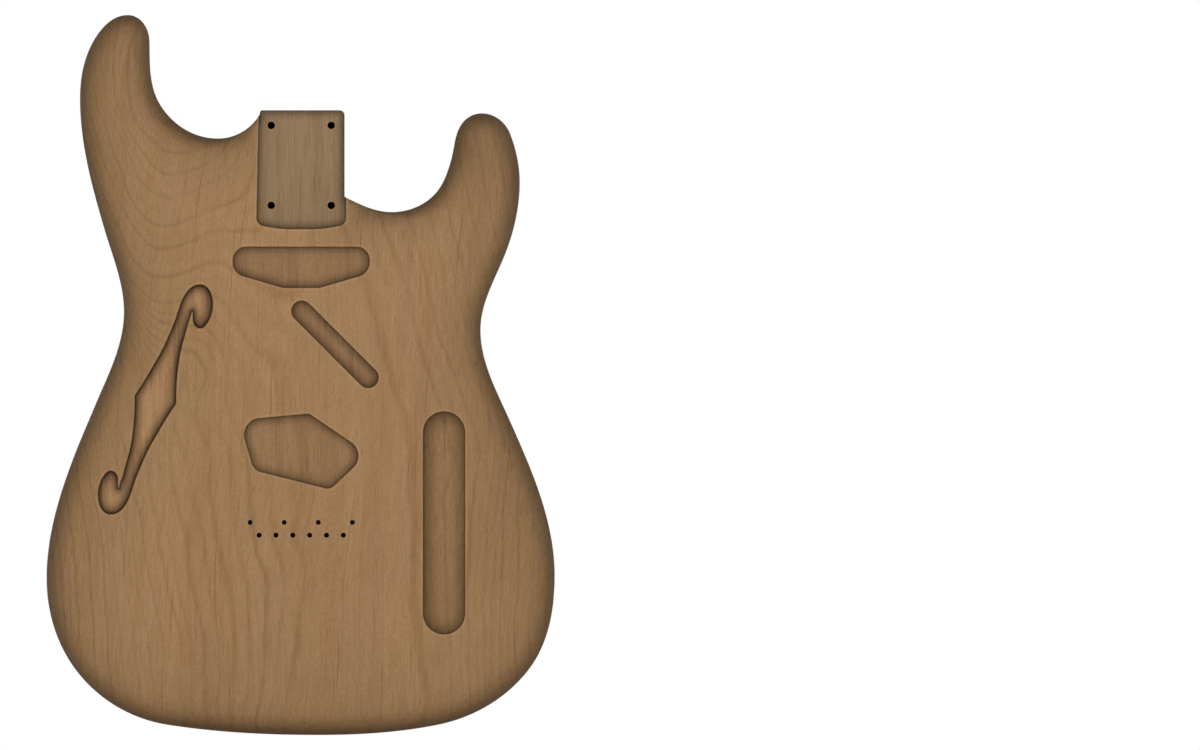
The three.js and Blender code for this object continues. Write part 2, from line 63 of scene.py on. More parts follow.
# Whole body
BODY_LENGTH = 457.2
BODY_WIDTH = 322.7
BODY_THICKNESS = 44.45
FACE_BOARD_THICKNESS = 6.35
CORE_MIDDLE_WIDTH = 104.5
CORE_MIDDLE_OFFSET = 4.75
EDGE_RADIUS = 12.7
EDGE_FADE_START = 3
EDGE_FADE_LENGTH = 24
TIGHT_EDGE_SHARE = 0.8
SMALLEST_EDGE_RADIUS = 0.4

# Neck pocket and heel
HEEL_END_SHARE = 0.8677
HEEL_BASS_FOOT_SHARE = 0.8605
HEEL_TREBLE_FOOT_SHARE = 0.746
HEEL_BASS_RIM = 0.08
HEEL_BASS_HEADING = 238
HEEL_BASS_CORNER = 1.9
HEEL_TREBLE_HEADING = 154
HEEL_TREBLE_CORNER = 3.2
HEEL_TREBLE_FLARE = 1.38
HEEL_SIDE_STEP = 0.8
POCKET_MOUTH_WIDTH = 53.4
POCKET_INNER_WIDTH = 56.6
POCKET_LENGTH = 75.3
POCKET_DEPTH = 15.9
POCKET_CORNER = 5
POCKET_END_BULGE = 3
NECK_SCREW_DIAMETER = 4.7
NECK_SCREWS_ACROSS = 38.1
NECK_SCREWS_ALONG = 50.8
NECK_SCREW_INSET = 9.6

# Pickup cavities
PICKUP_DEPTH = 19
NECK_PICKUP_LENGTH = 86.5
NECK_PICKUP_WIDTH = 25.8
NECK_PICKUP_FLAT = 22.9
NECK_PICKUP_SIDE = 16.5
NECK_PICKUP_CORNER = 9
NECK_PICKUP_SOFT_CORNER = 4
NECK_PICKUP_GAP = 11.5
BRIDGE_PICKUP_LENGTH = 81.6
BRIDGE_PICKUP_WIDTH = 47.8
BRIDGE_PICKUP_OFFSET = 1.4
BRIDGE_PICKUP_ABOVE_SCREWS = 45

# Controls, wiring and output jack
CONTROL_WIDTH = 26.4
CONTROL_LENGTH = 141.2
CONTROL_OFFSET_SHARE = 0.281
CONTROL_HEIGHT_SHARE = 0.2946
SLOT_WIDTH = 12.9
SLOT_LENGTH = 59.7
SLOT_ANGLE = -45
SLOT_OFFSET = 21.4
SLOT_BELOW_PICKUP = 36
WIRING_BORE_DIAMETER = 8
WIRING_BORE_DEPTH = 12.6
JACK_BORE_DIAMETER = 22.2
JACK_ABOVE_CONTROL_END = 26

# Bridge
BRIDGE_SCREW_HEIGHT_SHARE = 0.2953
BRIDGE_SCREW_SPACING = 21.65
BRIDGE_SCREW_COUNT = 4
BRIDGE_SCREW_DIAMETER = 3
BRIDGE_SCREW_DEPTH = 25
STRING_COUNT = 6
STRING_SPACING = 10.7
STRING_HOLE_DIAMETER = 3.1
STRINGS_BELOW_SCREWS = 8.1
FERRULE_DIAMETER = 9.3
FERRULE_DEPTH = 9.5

# Sound hole and the chamber behind it
SOUND_HOLE_LENGTH = 145.8
SOUND_HOLE_WIDTH = 72.8
SOUND_HOLE_OFFSET_SHARE = -0.287
SOUND_HOLE_HEIGHT_SHARE = 0.466
CHAMBER_DEPTH = 25.4
CHAMBER_RIM = 19
CHAMBER_SIDE_MARGIN = 2.3
CHAMBER_TOP_MARGIN = 14
CHAMBER_BOTTOM_MARGIN = 44
CHAMBER_CORNER = 12.7

# Dowels
DOWEL_HOLE_DIAMETER = 10
DOWEL_HOLE_DEPTH = 4.6
LOWER_DOWEL_SHARE = 0.36

# How finely shapes are cut into flats, and how near counts as touching
STEP_DEGREES = 3
LONGEST_STEP = 3
EDGE_STEPS = 14
LIP_STEPS = 4
LIP_RADIUS = 0.5
SOUND_HOLE_LIP_RADIUS = 0.3
HOLE_LIP_RADIUS = 0.25
SEAT_OVERLAP = 0.02
GRID_STEP = 3.5
GRID_MARGIN_SHARE = 0.35
FLOOR_STEP = 2.5
FLOOR_ROWS = (0.6, 1.3, 2.2, 3.4)
FACE_ROWS = (0.6, 1.8)
ROW_CLEARANCE_SHARE = 0.97
SEAM_MARGIN = 0.3
SEAM_STEP = 1.2
SMALLEST_AREA = 0.0001
FLOOR_SKIM = 0.05
HOLE_SIDES = 40
OVERRUN = 6
SHARP_DEGREES = 35
FLAT_FACE_WEIGHT = 80
RADIUS_REACH = 10
TOUCH = 0.01
MERGE_DISTANCE = 0.000001
TINY = 1e-12
BATCH = 2000

# Places that follow from the sizes above
FRONT = -BODY_THICKNESS / 2
BACK = BODY_THICKNESS / 2
CORE_FRONT = FRONT + FACE_BOARD_THICKNESS
CORE_BACK = BACK - FACE_BOARD_THICKNESS
HEEL_END = BODY_LENGTH * HEEL_END_SHARE
HEEL_BASS_SIDE = -POCKET_MOUTH_WIDTH / 2 - HEEL_BASS_RIM
HEEL_TREBLE_SIDE = POCKET_INNER_WIDTH / 2 - HEEL_SIDE_STEP
POCKET_END = HEEL_END - POCKET_LENGTH
POCKET_FLOOR = FRONT + POCKET_DEPTH
NECK_SCREW_CENTRE = HEEL_END - NECK_SCREW_INSET - NECK_SCREWS_ALONG / 2
NECK_PICKUP_TOP = POCKET_END - NECK_PICKUP_GAP
NECK_PICKUP_BOTTOM = NECK_PICKUP_TOP - NECK_PICKUP_WIDTH
BRIDGE_SCREW_HEIGHT = BODY_LENGTH * BRIDGE_SCREW_HEIGHT_SHARE
BRIDGE_PICKUP_HEIGHT = BRIDGE_SCREW_HEIGHT + BRIDGE_PICKUP_ABOVE_SCREWS
STRING_HEIGHT = BRIDGE_SCREW_HEIGHT - STRINGS_BELOW_SCREWS
CONTROL_OFFSET = BODY_WIDTH * CONTROL_OFFSET_SHARE
CONTROL_HEIGHT = BODY_LENGTH * CONTROL_HEIGHT_SHARE
SOUND_HOLE_OFFSET = BODY_WIDTH * SOUND_HOLE_OFFSET_SHARE
SOUND_HOLE_HEIGHT = BODY_LENGTH * SOUND_HOLE_HEIGHT_SHARE
SLOT_HEIGHT = NECK_PICKUP_BOTTOM - SLOT_BELOW_PICKUP
WIRING_BORE_Y = FRONT + WIRING_BORE_DEPTH
UPPER_DOWEL_HEIGHT = (SLOT_HEIGHT + BRIDGE_PICKUP_HEIGHT + BRIDGE_PICKUP_WIDTH / 2) / 2
LOWER_DOWEL_HEIGHT = STRING_HEIGHT * LOWER_DOWEL_SHARE
CORE_BASS_SEAM = CORE_MIDDLE_OFFSET - CORE_MIDDLE_WIDTH / 2
CORE_TREBLE_SEAM = CORE_MIDDLE_OFFSET + CORE_MIDDLE_WIDTH / 2

# Where the drawing's zero, the butt in the middle of the thickness, lies in the frame
SHIFT = np.array([0.0, -POCKET_FLOOR, -NECK_SCREW_CENTRE])

# Body outline: shares of the width and the length, and the heading in degrees
BODY_OUTLINE_SHARES = [
    (-0.164, 0.8285, 180),  # lowest point of the bass cutaway
    (-0.278, 0.876, 121),
    (-0.2985, 0.9625, 91),
    (-0.341, 1, 180),  # tip of the bass horn
    (-0.412, 0.96, 242),
    (-0.4355, 0.884, 270),  # widest point of the bass shoulder
    (-0.387, 0.7015, 286.5),
    (-0.349, 0.588, 270),  # bass waist
    (-0.408, 0.454, 247.5),
    (-0.447, 0.3875, 249),
    (-0.5012, 0.218, 270),  # widest point of the bass bout
    (-0.4405, 0.0875, 308),
    (-0.264, 0.0143, 351),
    (0.033, 0, 0),  # butt
    (0.2695, 0.0143, 11.5),
    (0.444, 0.0875, 51),
    (0.4988, 0.221, 90),  # widest point of the treble bout
    (0.41, 0.4375, 114),
    (0.3528, 0.5625, 90),  # treble waist
    (0.403, 0.671, 69),
    (0.43, 0.768, 90),  # widest point of the treble shoulder
    (0.4115, 0.8345, 111),
    (0.355, 0.8635, 180),  # tip of the treble horn
    (0.318, 0.851, 230),
    (0.2995, 0.814, 260),
    (0.279, 0.768, 244),
    (0.177, 0.7263, 180),  # lowest point of the treble cutaway
]

# Half of the sound hole; the other half is the same, turned round the middle
SOUND_HOLE_SHARES = [
    (-0.358, 0.036, 55),
    (-0.08, 0.256, 60),
    (0.119, 0.431, 62.5),
    (0.312, 0.648, 67),
    (0.433, 0.822, 72),
    (0.551, 0.936, 54),
    (0.778, 1, 0),  # top of the scroll
    (1, 0.831, 270),
    (0.904, 0.666, 236),
    (0.778, 0.622, 180),  # foot of the scroll
    (0.658, 0.683, 98),
    (0.655, 0.752, 92),
    (0.64, 0.77, 180),  # tip of the tongue
    (0.625, 0.75, 262),
    (0.574, 0.674, 252),
    (0.513, 0.561, 254),
    (0.433, 0.409, 259),
    (0.37, 0.169, 266),
    (0.358, -0.036, 270),
]

# Corners of the bridge pickup cavity: shares of half its length and width, and the radius
BRIDGE_PICKUP_SHARES = [
    (0.085, 1, 0.12),
    (1, -0.06, 0.43),
    (0.412, -1, 0.27),
    (-0.768, -0.49, 0.32),
    (-1, 0.83, 0.44),
]
CHAMBER_WALL_SHARES = [1, 0.75, 0.5, 0.25, 0]

# Growth rings of the face boards, read off the photograph, and where the pocket cuts them
# away, off its back view. Each ring has its number and points along it in the photograph's pixels.
PIXEL = 0.635
CENTRE_LINE_PIXEL = 301.2
BUTT_PIXEL = 735
RINGS = [
    (0, [(128, 90), (135, 122), (149, 138), (167, 151), (183, 154), (206, 147)]),
    (1, [
        (112, 62), (114, 98), (121, 114), (135, 142), (153, 167), (175, 175), (195, 168), (225, 147),
    ]),
    (2, [
        (102, 50), (106, 90), (115, 120), (130, 154), (151, 190), (171, 196), (191, 191),
        (211, 182), (235, 160),
    ]),
    (3, [
        (91, 70), (97, 106), (114, 156), (125, 191), (143, 216), (165, 228), (187, 220), (215, 208),
        (248, 191), (252, 180), (257, 160), (261, 142), (265, 128),
    ]),
    (4, [
        (83, 75), (92, 120), (115, 186), (137, 230), (161, 248), (183, 243), (215, 231), (251, 229),
        (260, 228), (267, 220), (271, 202), (275, 188), (281, 170), (284, 152), (286, 135),
    ]),
    (5, [
        (70, 90), (98, 180), (115, 220), (129, 254), (149, 274), (163, 277), (183, 273), (205, 265),
        (219, 262), (230, 267), (240, 277), (252, 282), (264, 283), (275, 294), (284, 296),
        (295, 289), (308, 272), (313, 258), (314, 235), (316, 212), (320, 185), (322, 160),
    ]),
    (5.4, [(328, 170), (327, 215), (329, 245), (334, 275)]),
    (5, [
        (333, 140), (335, 180), (337, 215), (343, 230), (352, 256), (361, 282), (372, 312),
        (382, 346), (394, 384), (406, 420), (414, 520), (418, 636), (426, 710),
    ]),
    (6, [
        (132, 282), (150, 300), (170, 303), (214, 292), (229, 312), (242, 336), (269, 356),
        (280, 382), (284, 420),
    ]),
    (6, [(294, 538), (305, 563), (304, 578), (299, 612), (297, 636), (292, 668), (280, 714)]),
    (7, [(210, 332), (222, 356), (223, 394), (252, 520), (269, 586), (265, 656), (261, 698)]),
    (8, [
        (136, 312), (148, 332), (158, 340), (192, 350), (206, 374), (211, 450), (215, 530),
        (230, 594), (236, 650),
    ]),
    (9, [(150, 420), (170, 470), (190, 536), (196, 604), (205, 688)]),
    (10, [(131, 338), (142, 370), (149, 460), (156, 540), (169, 598), (178, 690)]),
    (11, [(118, 400), (122, 444), (131, 488), (148, 570), (164, 648)]),
    (12, [(105, 398), (111, 440), (128, 512), (135, 570), (146, 626), (153, 688)]),
    (13, [(108, 470), (120, 516), (125, 586), (135, 652), (139, 692)]),
    (14, [(98, 450), (109, 518), (117, 592), (122, 660)]),
    (15, [(98, 512), (104, 560), (108, 640), (112, 688)]),
    (16, [(83, 514), (90, 580), (94, 652)]),
    (17, [(69, 520), (76, 580), (80, 640)]),
    (4, [
        (380, 215), (387, 230), (396, 258), (410, 300), (418, 340), (434, 386), (442, 500),
        (446, 600), (452, 700),
    ]),
    (3, [
        (408, 222), (418, 250), (428, 298), (469, 416), (480, 452), (475, 496), (469, 548),
        (470, 640),
    ]),
    (2, [(430, 215), (436, 243), (445, 281), (492, 478), (487, 520), (482, 600), (483, 660)]),
    (1, [(445, 200), (450, 225), (458, 249), (466, 297), (503, 522), (501, 590)]),
    (0, [(459, 163), (470, 203), (484, 279), (517, 500), (517, 600)]),
    (-1, [(479, 153), (489, 201), (500, 250), (534, 566), (529, 620)]),
    (-2, [(502, 170), (508, 220), (549, 560)]),
]
RING_STIFFNESS = 0.006
FIELD_UNIT = 100


# Paths


def direction(degrees):
    return np.array([math.cos(math.radians(degrees)), math.sin(math.radians(degrees))])


def wrap_angle(angle):
    return math.atan2(math.sin(angle), math.cos(angle))


def heading_of(vector):
    return math.atan2(vector[1], vector[0])


def unit(vectors):
    return vectors / np.maximum(np.hypot(*vectors.T), TINY)[:, None]


def handle_share(leaving, arriving):
    """Handle length of a smooth curve that leaves its chord by one angle and comes back by another."""
    swing = (
        (math.sin(leaving) - math.sin(arriving) / 16)
        * (math.sin(arriving) - math.sin(leaving) / 16)
        * (math.cos(leaving) - math.cos(arriving))
    )
    tightness = (
        1
        + (math.sqrt(5) - 1) / 2 * math.cos(leaving)
        + (3 - math.sqrt(5)) / 2 * math.cos(arriving)
    )
    return (2 + math.sqrt(2) * swing) / tightness / 3


def curve_between(start, end):
    """Points of the smooth curve between two stations, without the last one."""
    p0, p3 = np.array(start[:2], float), np.array(end[:2], float)
    chord = p3 - p0
    length = float(np.hypot(*chord))
    leaving = wrap_angle(math.radians(start[2]) - heading_of(chord))
    arriving = wrap_angle(heading_of(chord) - math.radians(end[2]))
    p1 = p0 + direction(start[2]) * length * handle_share(leaving, arriving)
    p2 = p3 - direction(end[2]) * length * handle_share(arriving, leaving)
    turn = abs(leaving) + abs(arriving)
    steps = math.ceil(max(turn / math.radians(STEP_DEGREES), length / LONGEST_STEP))
    t = (np.arange(steps) / steps)[:, None]
    return (1 - t) ** 3 * p0 + 3 * (1 - t) ** 2 * t * p1 + 3 * (1 - t) * t**2 * p2 + t**3 * p3


def smooth_path(stations):
    """Points of a smooth chain of curves through stations, the last station included."""
    parts = [curve_between(a, b) for a, b in zip(stations, stations[1:])]
    return np.vstack(parts + [np.array([stations[-1][:2]], float)])


def rounded_polygon(corners):
    """A polygon with its corners rounded; each corner is (x, z, radius)."""
    places = [np.array(c[:2], float) for c in corners]
    points = []
    for i, corner in enumerate(places):
        wanted = corners[i][2]
        if wanted == 0:
            points.append(corner)
            continue
        sides = np.array([places[i - 1], places[(i + 1) % len(places)]]) - corner
        before, after = unit(sides)
        half = math.acos(max(-1, min(1, float(before @ after)))) / 2
        turn = math.pi - 2 * half
        tangent = min(wanted / math.tan(half), np.hypot(*sides.T).min() / 2)
        radius = tangent * math.tan(half)
        bisector = (before + after) / np.hypot(*(before + after))
        centre = corner + bisector * radius / math.sin(half)
        arm = corner + before * tangent - centre
        way = 1 if before[0] * after[1] - before[1] * after[0] >= 0 else -1
        steps = max(2, math.ceil(turn / math.radians(2 * STEP_DEGREES)))
        for k in range(steps + 1):
            c, s = direction(math.degrees(-way * turn * k / steps))
            points.append(centre + [c * arm[0] - s * arm[1], s * arm[0] + c * arm[1]])
    return np.array(points)


def slot_outline(x, z, spacing, width, degrees):
    """A slot with round ends, centred on a point and turned from +X."""
    ahead, side = direction(degrees), direction(degrees + 90)
    angles = math.pi * (np.arange(HOLE_SIDES // 2 + 1)[:, None] / (HOLE_SIDES // 2) - 0.5)
    half = ahead * spacing / 2 + (ahead * np.cos(angles) + side * np.sin(angles)) * width / 2
    return np.vstack([half, -half]) + [x, z]


def circle_outline(x, z, diameter):
    angles = np.arange(HOLE_SIDES) / HOLE_SIDES * 2 * math.pi
    return np.stack([np.cos(angles), np.sin(angles)], 1) * diameter / 2 + [x, z]


def inward_directions(outline):
    """Unit vectors that point into an anticlockwise outline at each of its points."""
    along = unit(np.roll(outline, -1, 0) - outline) + unit(outline - np.roll(outline, 1, 0))
    return unit(np.stack([-along[:, 1], along[:, 0]], 1))


def area_of(outline):
    x, z = outline.T
    return float((x * np.roll(z, -1) - z * np.roll(x, -1)).sum() / 2)


def anticlockwise(outline):
    return outline[::-1] if area_of(outline) < 0 else outline


# Meshes, drawn in millimetres


def inside(points, outline):
    """Which points lie inside a closed outline."""
    x, z = points[:, 0][:, None], points[:, 1][:, None]
    a, b = outline, np.roll(outline, -1, 0)
    crosses = (a[:, 1] > z) != (b[:, 1] > z)
    rise = np.where(b[:, 1] == a[:, 1], TINY, b[:, 1] - a[:, 1])
    where = a[:, 0] + (z - a[:, 1]) / rise * (b[:, 0] - a[:, 0])
    return (crosses & (x < where)).sum(1) % 2 == 1


def batches(points):
    return np.array_split(points, max(1, len(points) // BATCH))


def distance_to(points, outline, paces=1):
    """Distance from each point to the nearest stretch of a closed outline, each stretch's distance
    times its own pace."""
    along = np.roll(outline, -1, 0) - outline
    squared = np.maximum((along**2).sum(1), TINY)
    found = []
    for part in batches(points):
        to = part[:, None] - outline[None]
        share = np.clip((to * along).sum(2) / squared, 0, 1)
        gap = np.hypot(*(to - share[..., None] * along).transpose(2, 0, 1))
        found.append((gap * paces).min(1))
    return np.concatenate(found)


def nearest(points, others):
    """The number of the nearest of the others for each point."""
    found = [((part[:, None] - others[None]) ** 2).sum(2).argmin(1) for part in batches(points)]
    return np.concatenate(found)


def densified(outline, step):
    """A closed outline with points added along its long straight stretches."""
    points = []
    for start, end in zip(outline, np.roll(outline, -1, 0)):
        count = max(1, math.ceil(np.hypot(*(end - start)) / step))
        points += [start + (end - start) * k / count for k in range(count)]
    return np.array(points)


def rows_beside(outline, offsets):
    """Rows of points beside a closed outline, inside it where the offset is above zero."""
    outline = anticlockwise(outline)
    inward = inward_directions(outline)
    rows = []
    for offset in offsets:
        moved = outline + inward * offset
        clear = distance_to(moved, outline) > abs(offset) * ROW_CLEARANCE_SHARE - TOUCH
        rows.append(moved[clear])
    return np.vstack(rows)


def cap_faces(outline, step, seams=None):
    """Points inside an outline, and triangles over them and the outline's own points. The points
    lie on a grid, which leaves room for the points of the seams."""
    xs, zs = (
        np.arange(math.ceil(low / step), high / step) * step
        for low, high in zip(outline.min(0), outline.max(0))
    )
    grid = np.stack(np.meshgrid(xs, zs), -1).reshape(-1, 2)
    grid = grid[inside(grid, outline)]
    margin = step * GRID_MARGIN_SHARE
    grid = grid[distance_to(grid, outline) > margin]
    if seams is not None:
        seams = seams[inside(seams, outline)]
        seams = seams[distance_to(seams, outline) > SEAM_MARGIN]
        gaps = np.hypot(*(grid - seams[nearest(grid, seams)]).T)
        grid = np.vstack([grid[gaps > margin], seams])
    count = len(outline)
    points = np.vstack([outline, grid])
    edges = [(i, (i + 1) % count) for i in range(count)]
    made = delaunay_2d_cdt([Vector(p) for p in points], edges, [], 0, MERGE_DISTANCE, True)
    origin = np.array([sources[0] for sources in made[3]])
    faces = origin[np.array(made[2])]
    corners = points[faces]
    sides = corners[:, 1:] - corners[:, :1]
    areas = np.abs(sides[:, 0, 0] * sides[:, 1, 1] - sides[:, 0, 1] * sides[:, 1, 0])
    on_rim = (faces < count).all(1)
    kept = faces[inside(corners.mean(1), outline) & ~(on_rim & (areas < SMALLEST_AREA))]
    return grid, [tuple(int(i) for i in face) for face in kept]


def add_object(name, data):
    made = bpy.data.objects.new(name, data)
    bpy.context.scene.collection.objects.link(made)
    return made


def make_object(name, points, faces):
    mesh = bpy.data.meshes.new(name)
    placed = (np.asarray(points, float) + SHIFT) * MM
    mesh.from_pydata(placed.tolist(), [], faces)
    mesh.update()
    return add_object(name, mesh)


def loft(name, rings, step=GRID_STEP, front_seams=None, back_seams=None):
    """A closed solid over rings of equal length, from the front one to the back one."""
    count = len(rings[0])
    points = np.vstack(rings)
    faces = []
    for ring in range(len(rings) - 1):
        for i in range(count):
            a, b = ring * count + i, ring * count + (i + 1) % count
            faces.append((a, a + count, b + count, b))
    for ring, flipped in ((0, False), (len(rings) - 1, True)):
        outline = rings[ring][:, [0, 2]]
        grid, triangles = cap_faces(outline, step, back_seams if flipped else front_seams)
        first = len(points)
        points = np.vstack([points, ring_at(grid, rings[ring][0][1])])
        for triangle in triangles:
            ids = [ring * count + i if i < count else first + i - count for i in triangle]
            faces.append(tuple(ids[::-1]) if flipped else tuple(ids))
    return make_object(name, points, faces)


def ring_at(outline, depth):
    return np.stack([outline[:, 0], np.full(len(outline), depth), outline[:, 1]], 1)


def lipped_end(outline, lip, end, face, way):
    """Rings from a cutter's end to its straight wall, flared so that the face's lip is round."""
    if not lip:
        return [ring_at(outline, end)]
    inward = inward_directions(outline)
    rings = [ring_at(outline - inward * lip, end)]
    for k in range(LIP_STEPS + 1):
        angle = math.pi / 2 * k / LIP_STEPS
        out = lip * (1 - math.sin(angle))
        rings.append(ring_at(outline - inward * out, face + way * lip * (1 - math.cos(angle))))
    return rings


def cutter(name, outline, near, far, front_lip=0.0, back_lip=0.0, floor_seams=None):
    """A prism between two depths, flared where it comes out of a face."""
    outline = anticlockwise(np.asarray(outline, float))
    front = lipped_end(outline, front_lip, near, FRONT - SEAT_OVERLAP, 1)
    back = lipped_end(outline, back_lip, far, BACK + SEAT_OVERLAP, -1)
    step = GRID_STEP if floor_seams is None else FLOOR_STEP
    return loft(name, front + back[::-1], step, None, floor_seams)


def round_hole(name, place, diameter, near, far, front_lip=0.0, back_lip=0.0):
    return cutter(name, circle_outline(*place, diameter), near, far, front_lip, back_lip)


def drilled(name, start, end, diameter):
    """A drilled hole between two points."""
    start, end = Vector(start), Vector(end)
    turn = (end - start).to_track_quat("Z", "Y")
    count = HOLE_SIDES
    points = [
        place + turn @ Vector((math.cos(a), math.sin(a), 0)) * diameter / 2
        for place in (start, end)
        for a in np.arange(count) / count * 2 * math.pi
    ]
    faces = [(i, (i + 1) % count, count + (i + 1) % count, count + i) for i in range(count)]
    faces += [tuple(range(count))[::-1], tuple(range(count, 2 * count))]
    return make_object(name, [tuple(p) for p in points], faces)


def slab(name, near, far, low=-BODY_WIDTH, high=BODY_WIDTH):
    """A block that takes in the whole body between two depths and two places across."""
    top = BODY_LENGTH + OVERRUN
    corners = [(x, y, z) for x in (low, high) for y in (near, far) for z in (-OVERRUN, top)]
    faces = [(0, 1, 3, 2), (4, 6, 7, 5), (0, 4, 5, 1), (2, 3, 7, 6), (0, 2, 6, 4), (1, 5, 7, 3)]
    return make_object(name, corners, faces)


# Body blank


def curved_outline():
    """The outline from the heel's bass foot round to its treble foot."""
    around = [(x * BODY_WIDTH, z * BODY_LENGTH, heading) for x, z, heading in BODY_OUTLINE_SHARES]
    treble_foot = HEEL_TREBLE_SIDE + HEEL_TREBLE_FLARE
    return smooth_path([
        (HEEL_BASS_SIDE, BODY_LENGTH * HEEL_BASS_FOOT_SHARE, HEEL_BASS_HEADING),
        *around,
        (treble_foot, BODY_LENGTH * HEEL_TREBLE_FOOT_SHARE, HEEL_TREBLE_HEADING),
    ])


def heel_outline(curved):
    bass_foot = curved[0]
    shoulder = np.array([[HEEL_TREBLE_SIDE, curved[-1][1] + HEEL_SIDE_STEP]])
    treble_turn = smooth_path([
        (HEEL_TREBLE_SIDE, HEEL_END - HEEL_TREBLE_CORNER, 90),
        (HEEL_TREBLE_SIDE - HEEL_TREBLE_CORNER, HEEL_END, 180),
    ])
    bass_turn = smooth_path([
        (bass_foot[0] + HEEL_BASS_CORNER, HEEL_END, 180),
        (*bass_foot, HEEL_BASS_HEADING),
    ])
    return np.vstack([shoulder, treble_turn, bass_turn[:-1]])


def smoothstep(x, low, high):
    t = np.clip((x - low) / (high - low), 0, 1)
    return t * t * (3 - 2 * t)


def ways_along(path):
    """How far along a path each point lies, and how far from the nearer end."""
    travelled = np.concatenate([[0], np.cumsum(np.hypot(*(path[1:] - path[:-1]).T))])
    return travelled, np.minimum(travelled, travelled[-1] - travelled)


def edged_outline():
    """The outline, its inward directions and the edge radius at each point."""
    curved = curved_outline()
    outline = np.vstack([curved, heel_outline(curved)])
    _, from_heel = ways_along(curved)
    limits = np.zeros(len(outline))
    limits[: len(curved)] = EDGE_RADIUS * smoothstep(from_heel - EDGE_FADE_START, 0, EDGE_FADE_LENGTH)
    behind = outline - np.roll(outline, 1, 0)
    ahead = np.roll(outline, -1, 0) - outline
    across = behind[:, 0] * ahead[:, 1] - behind[:, 1] * ahead[:, 0]
    turn = np.arctan2(across, (behind * ahead).sum(1))
    gap = (np.hypot(*behind.T) + np.hypot(*ahead.T)) / 2
    own = np.where(turn > TINY, gap / np.maximum(turn, TINY), math.inf) * TIGHT_EDGE_SHARE
    limits = np.minimum(limits, own)
    shifts = range(-RADIUS_REACH, RADIUS_REACH + 1)
    lowest = np.min([np.roll(limits, s) for s in shifts], axis=0)
    radius = np.minimum(np.mean([np.roll(lowest, s) for s in shifts], axis=0), limits)
    return outline, inward_directions(outline), np.maximum(radius, SMALLEST_EDGE_RADIUS)


def blank():
    """The whole body, with rounded edges and no holes."""
    outline, inward, radius = edged_outline()
    arcs = [math.pi / 2 * k / EDGE_STEPS for k in range(EDGE_STEPS + 1)]
    rings = []
    for face, way, order in ((FRONT, 1, arcs[::-1]), (BACK, -1, arcs)):
        for arc in order:
            drawn_in = outline + inward * (radius * (1 - math.cos(arc)))[:, None]
            rings.append(ring_at(drawn_in, face + way * radius * (1 - math.sin(arc))))
    offsets = [-LIP_RADIUS - gap for gap in FACE_ROWS]
    walls = [*(wall for wall, _ in cavities().values()), sound_hole_outline()]
    return loft("blank", rings, GRID_STEP, np.vstack([rows_beside(w, offsets) for w in walls]))


# Cuts


def neck_pocket_outline():
    mouth = HEEL_END + OVERRUN
    side = POCKET_INNER_WIDTH / 2
    return rounded_polygon([
        (-side, POCKET_END + POCKET_END_BULGE, POCKET_CORNER),
        (-side / 2, POCKET_END, math.inf),
        (side / 2, POCKET_END, math.inf),
        (side, POCKET_END + POCKET_END_BULGE, POCKET_CORNER),
        (side, mouth, 0),
        (-POCKET_MOUTH_WIDTH / 2, mouth, 0),
    ])


def neck_screw_places():
    heights = [HEEL_END - NECK_SCREW_INSET - NECK_SCREWS_ALONG * k for k in (0, 1)]
    return [(side * NECK_SCREWS_ACROSS / 2, z) for side in (-1, 1) for z in heights]


def neck_screw_holes():
    ends = (FRONT, BACK + OVERRUN)
    return [
        round_hole("neck_screw_hole", place, NECK_SCREW_DIAMETER, *ends, 0, HOLE_LIP_RADIUS)
        for place in neck_screw_places()
    ]


def neck_pickup_outline():
    side = NECK_PICKUP_LENGTH / 2
    flat = NECK_PICKUP_FLAT / 2
    side_end = NECK_PICKUP_TOP - NECK_PICKUP_SIDE
    treble_half = [
        (flat, NECK_PICKUP_BOTTOM, NECK_PICKUP_SOFT_CORNER),
        (side, side_end, NECK_PICKUP_CORNER),
        (side, NECK_PICKUP_TOP, NECK_PICKUP_CORNER),
    ]
    return rounded_polygon([(-x, z, radius) for x, z, radius in treble_half[::-1]] + treble_half)


def bridge_pickup_outline():
    half_length, half_width = BRIDGE_PICKUP_LENGTH / 2, BRIDGE_PICKUP_WIDTH / 2
    return rounded_polygon([
        (
            BRIDGE_PICKUP_OFFSET + x * half_length,
            BRIDGE_PICKUP_HEIGHT + z * half_width,
            radius * half_width,
        )
        for x, z, radius in BRIDGE_PICKUP_SHARES
    ])


def wiring_slot_outline():
    return slot_outline(SLOT_OFFSET, SLOT_HEIGHT, SLOT_LENGTH, SLOT_WIDTH, SLOT_ANGLE)


def control_outline():
    straight = CONTROL_LENGTH - CONTROL_WIDTH
    return slot_outline(CONTROL_OFFSET, CONTROL_HEIGHT, straight, CONTROL_WIDTH, 90)


def sound_hole_outline():
    half = smooth_path([
        (x * SOUND_HOLE_WIDTH / 2, z * SOUND_HOLE_LENGTH / 2, heading)
        for x, z, heading in SOUND_HOLE_SHARES
    ])
    return np.vstack([half[:-1], -half[:-1]]) + [SOUND_HOLE_OFFSET, SOUND_HOLE_HEIGHT]


def cavities():
    """Every hollow milled from the front, each with its outline and the depth of its floor."""
    found = {
        "neck_pocket": (neck_pocket_outline(), POCKET_FLOOR),
        "neck_pickup": (neck_pickup_outline(), FRONT + PICKUP_DEPTH),
        "bridge_pickup": (bridge_pickup_outline(), FRONT + PICKUP_DEPTH),
        "wiring_slot": (wiring_slot_outline(), FRONT + PICKUP_DEPTH),
        "control_cavity": (control_outline(), CORE_BACK + FLOOR_SKIM),
    }
    return {name: (densified(wall, FLOOR_STEP), floor) for name, (wall, floor) in found.items()}


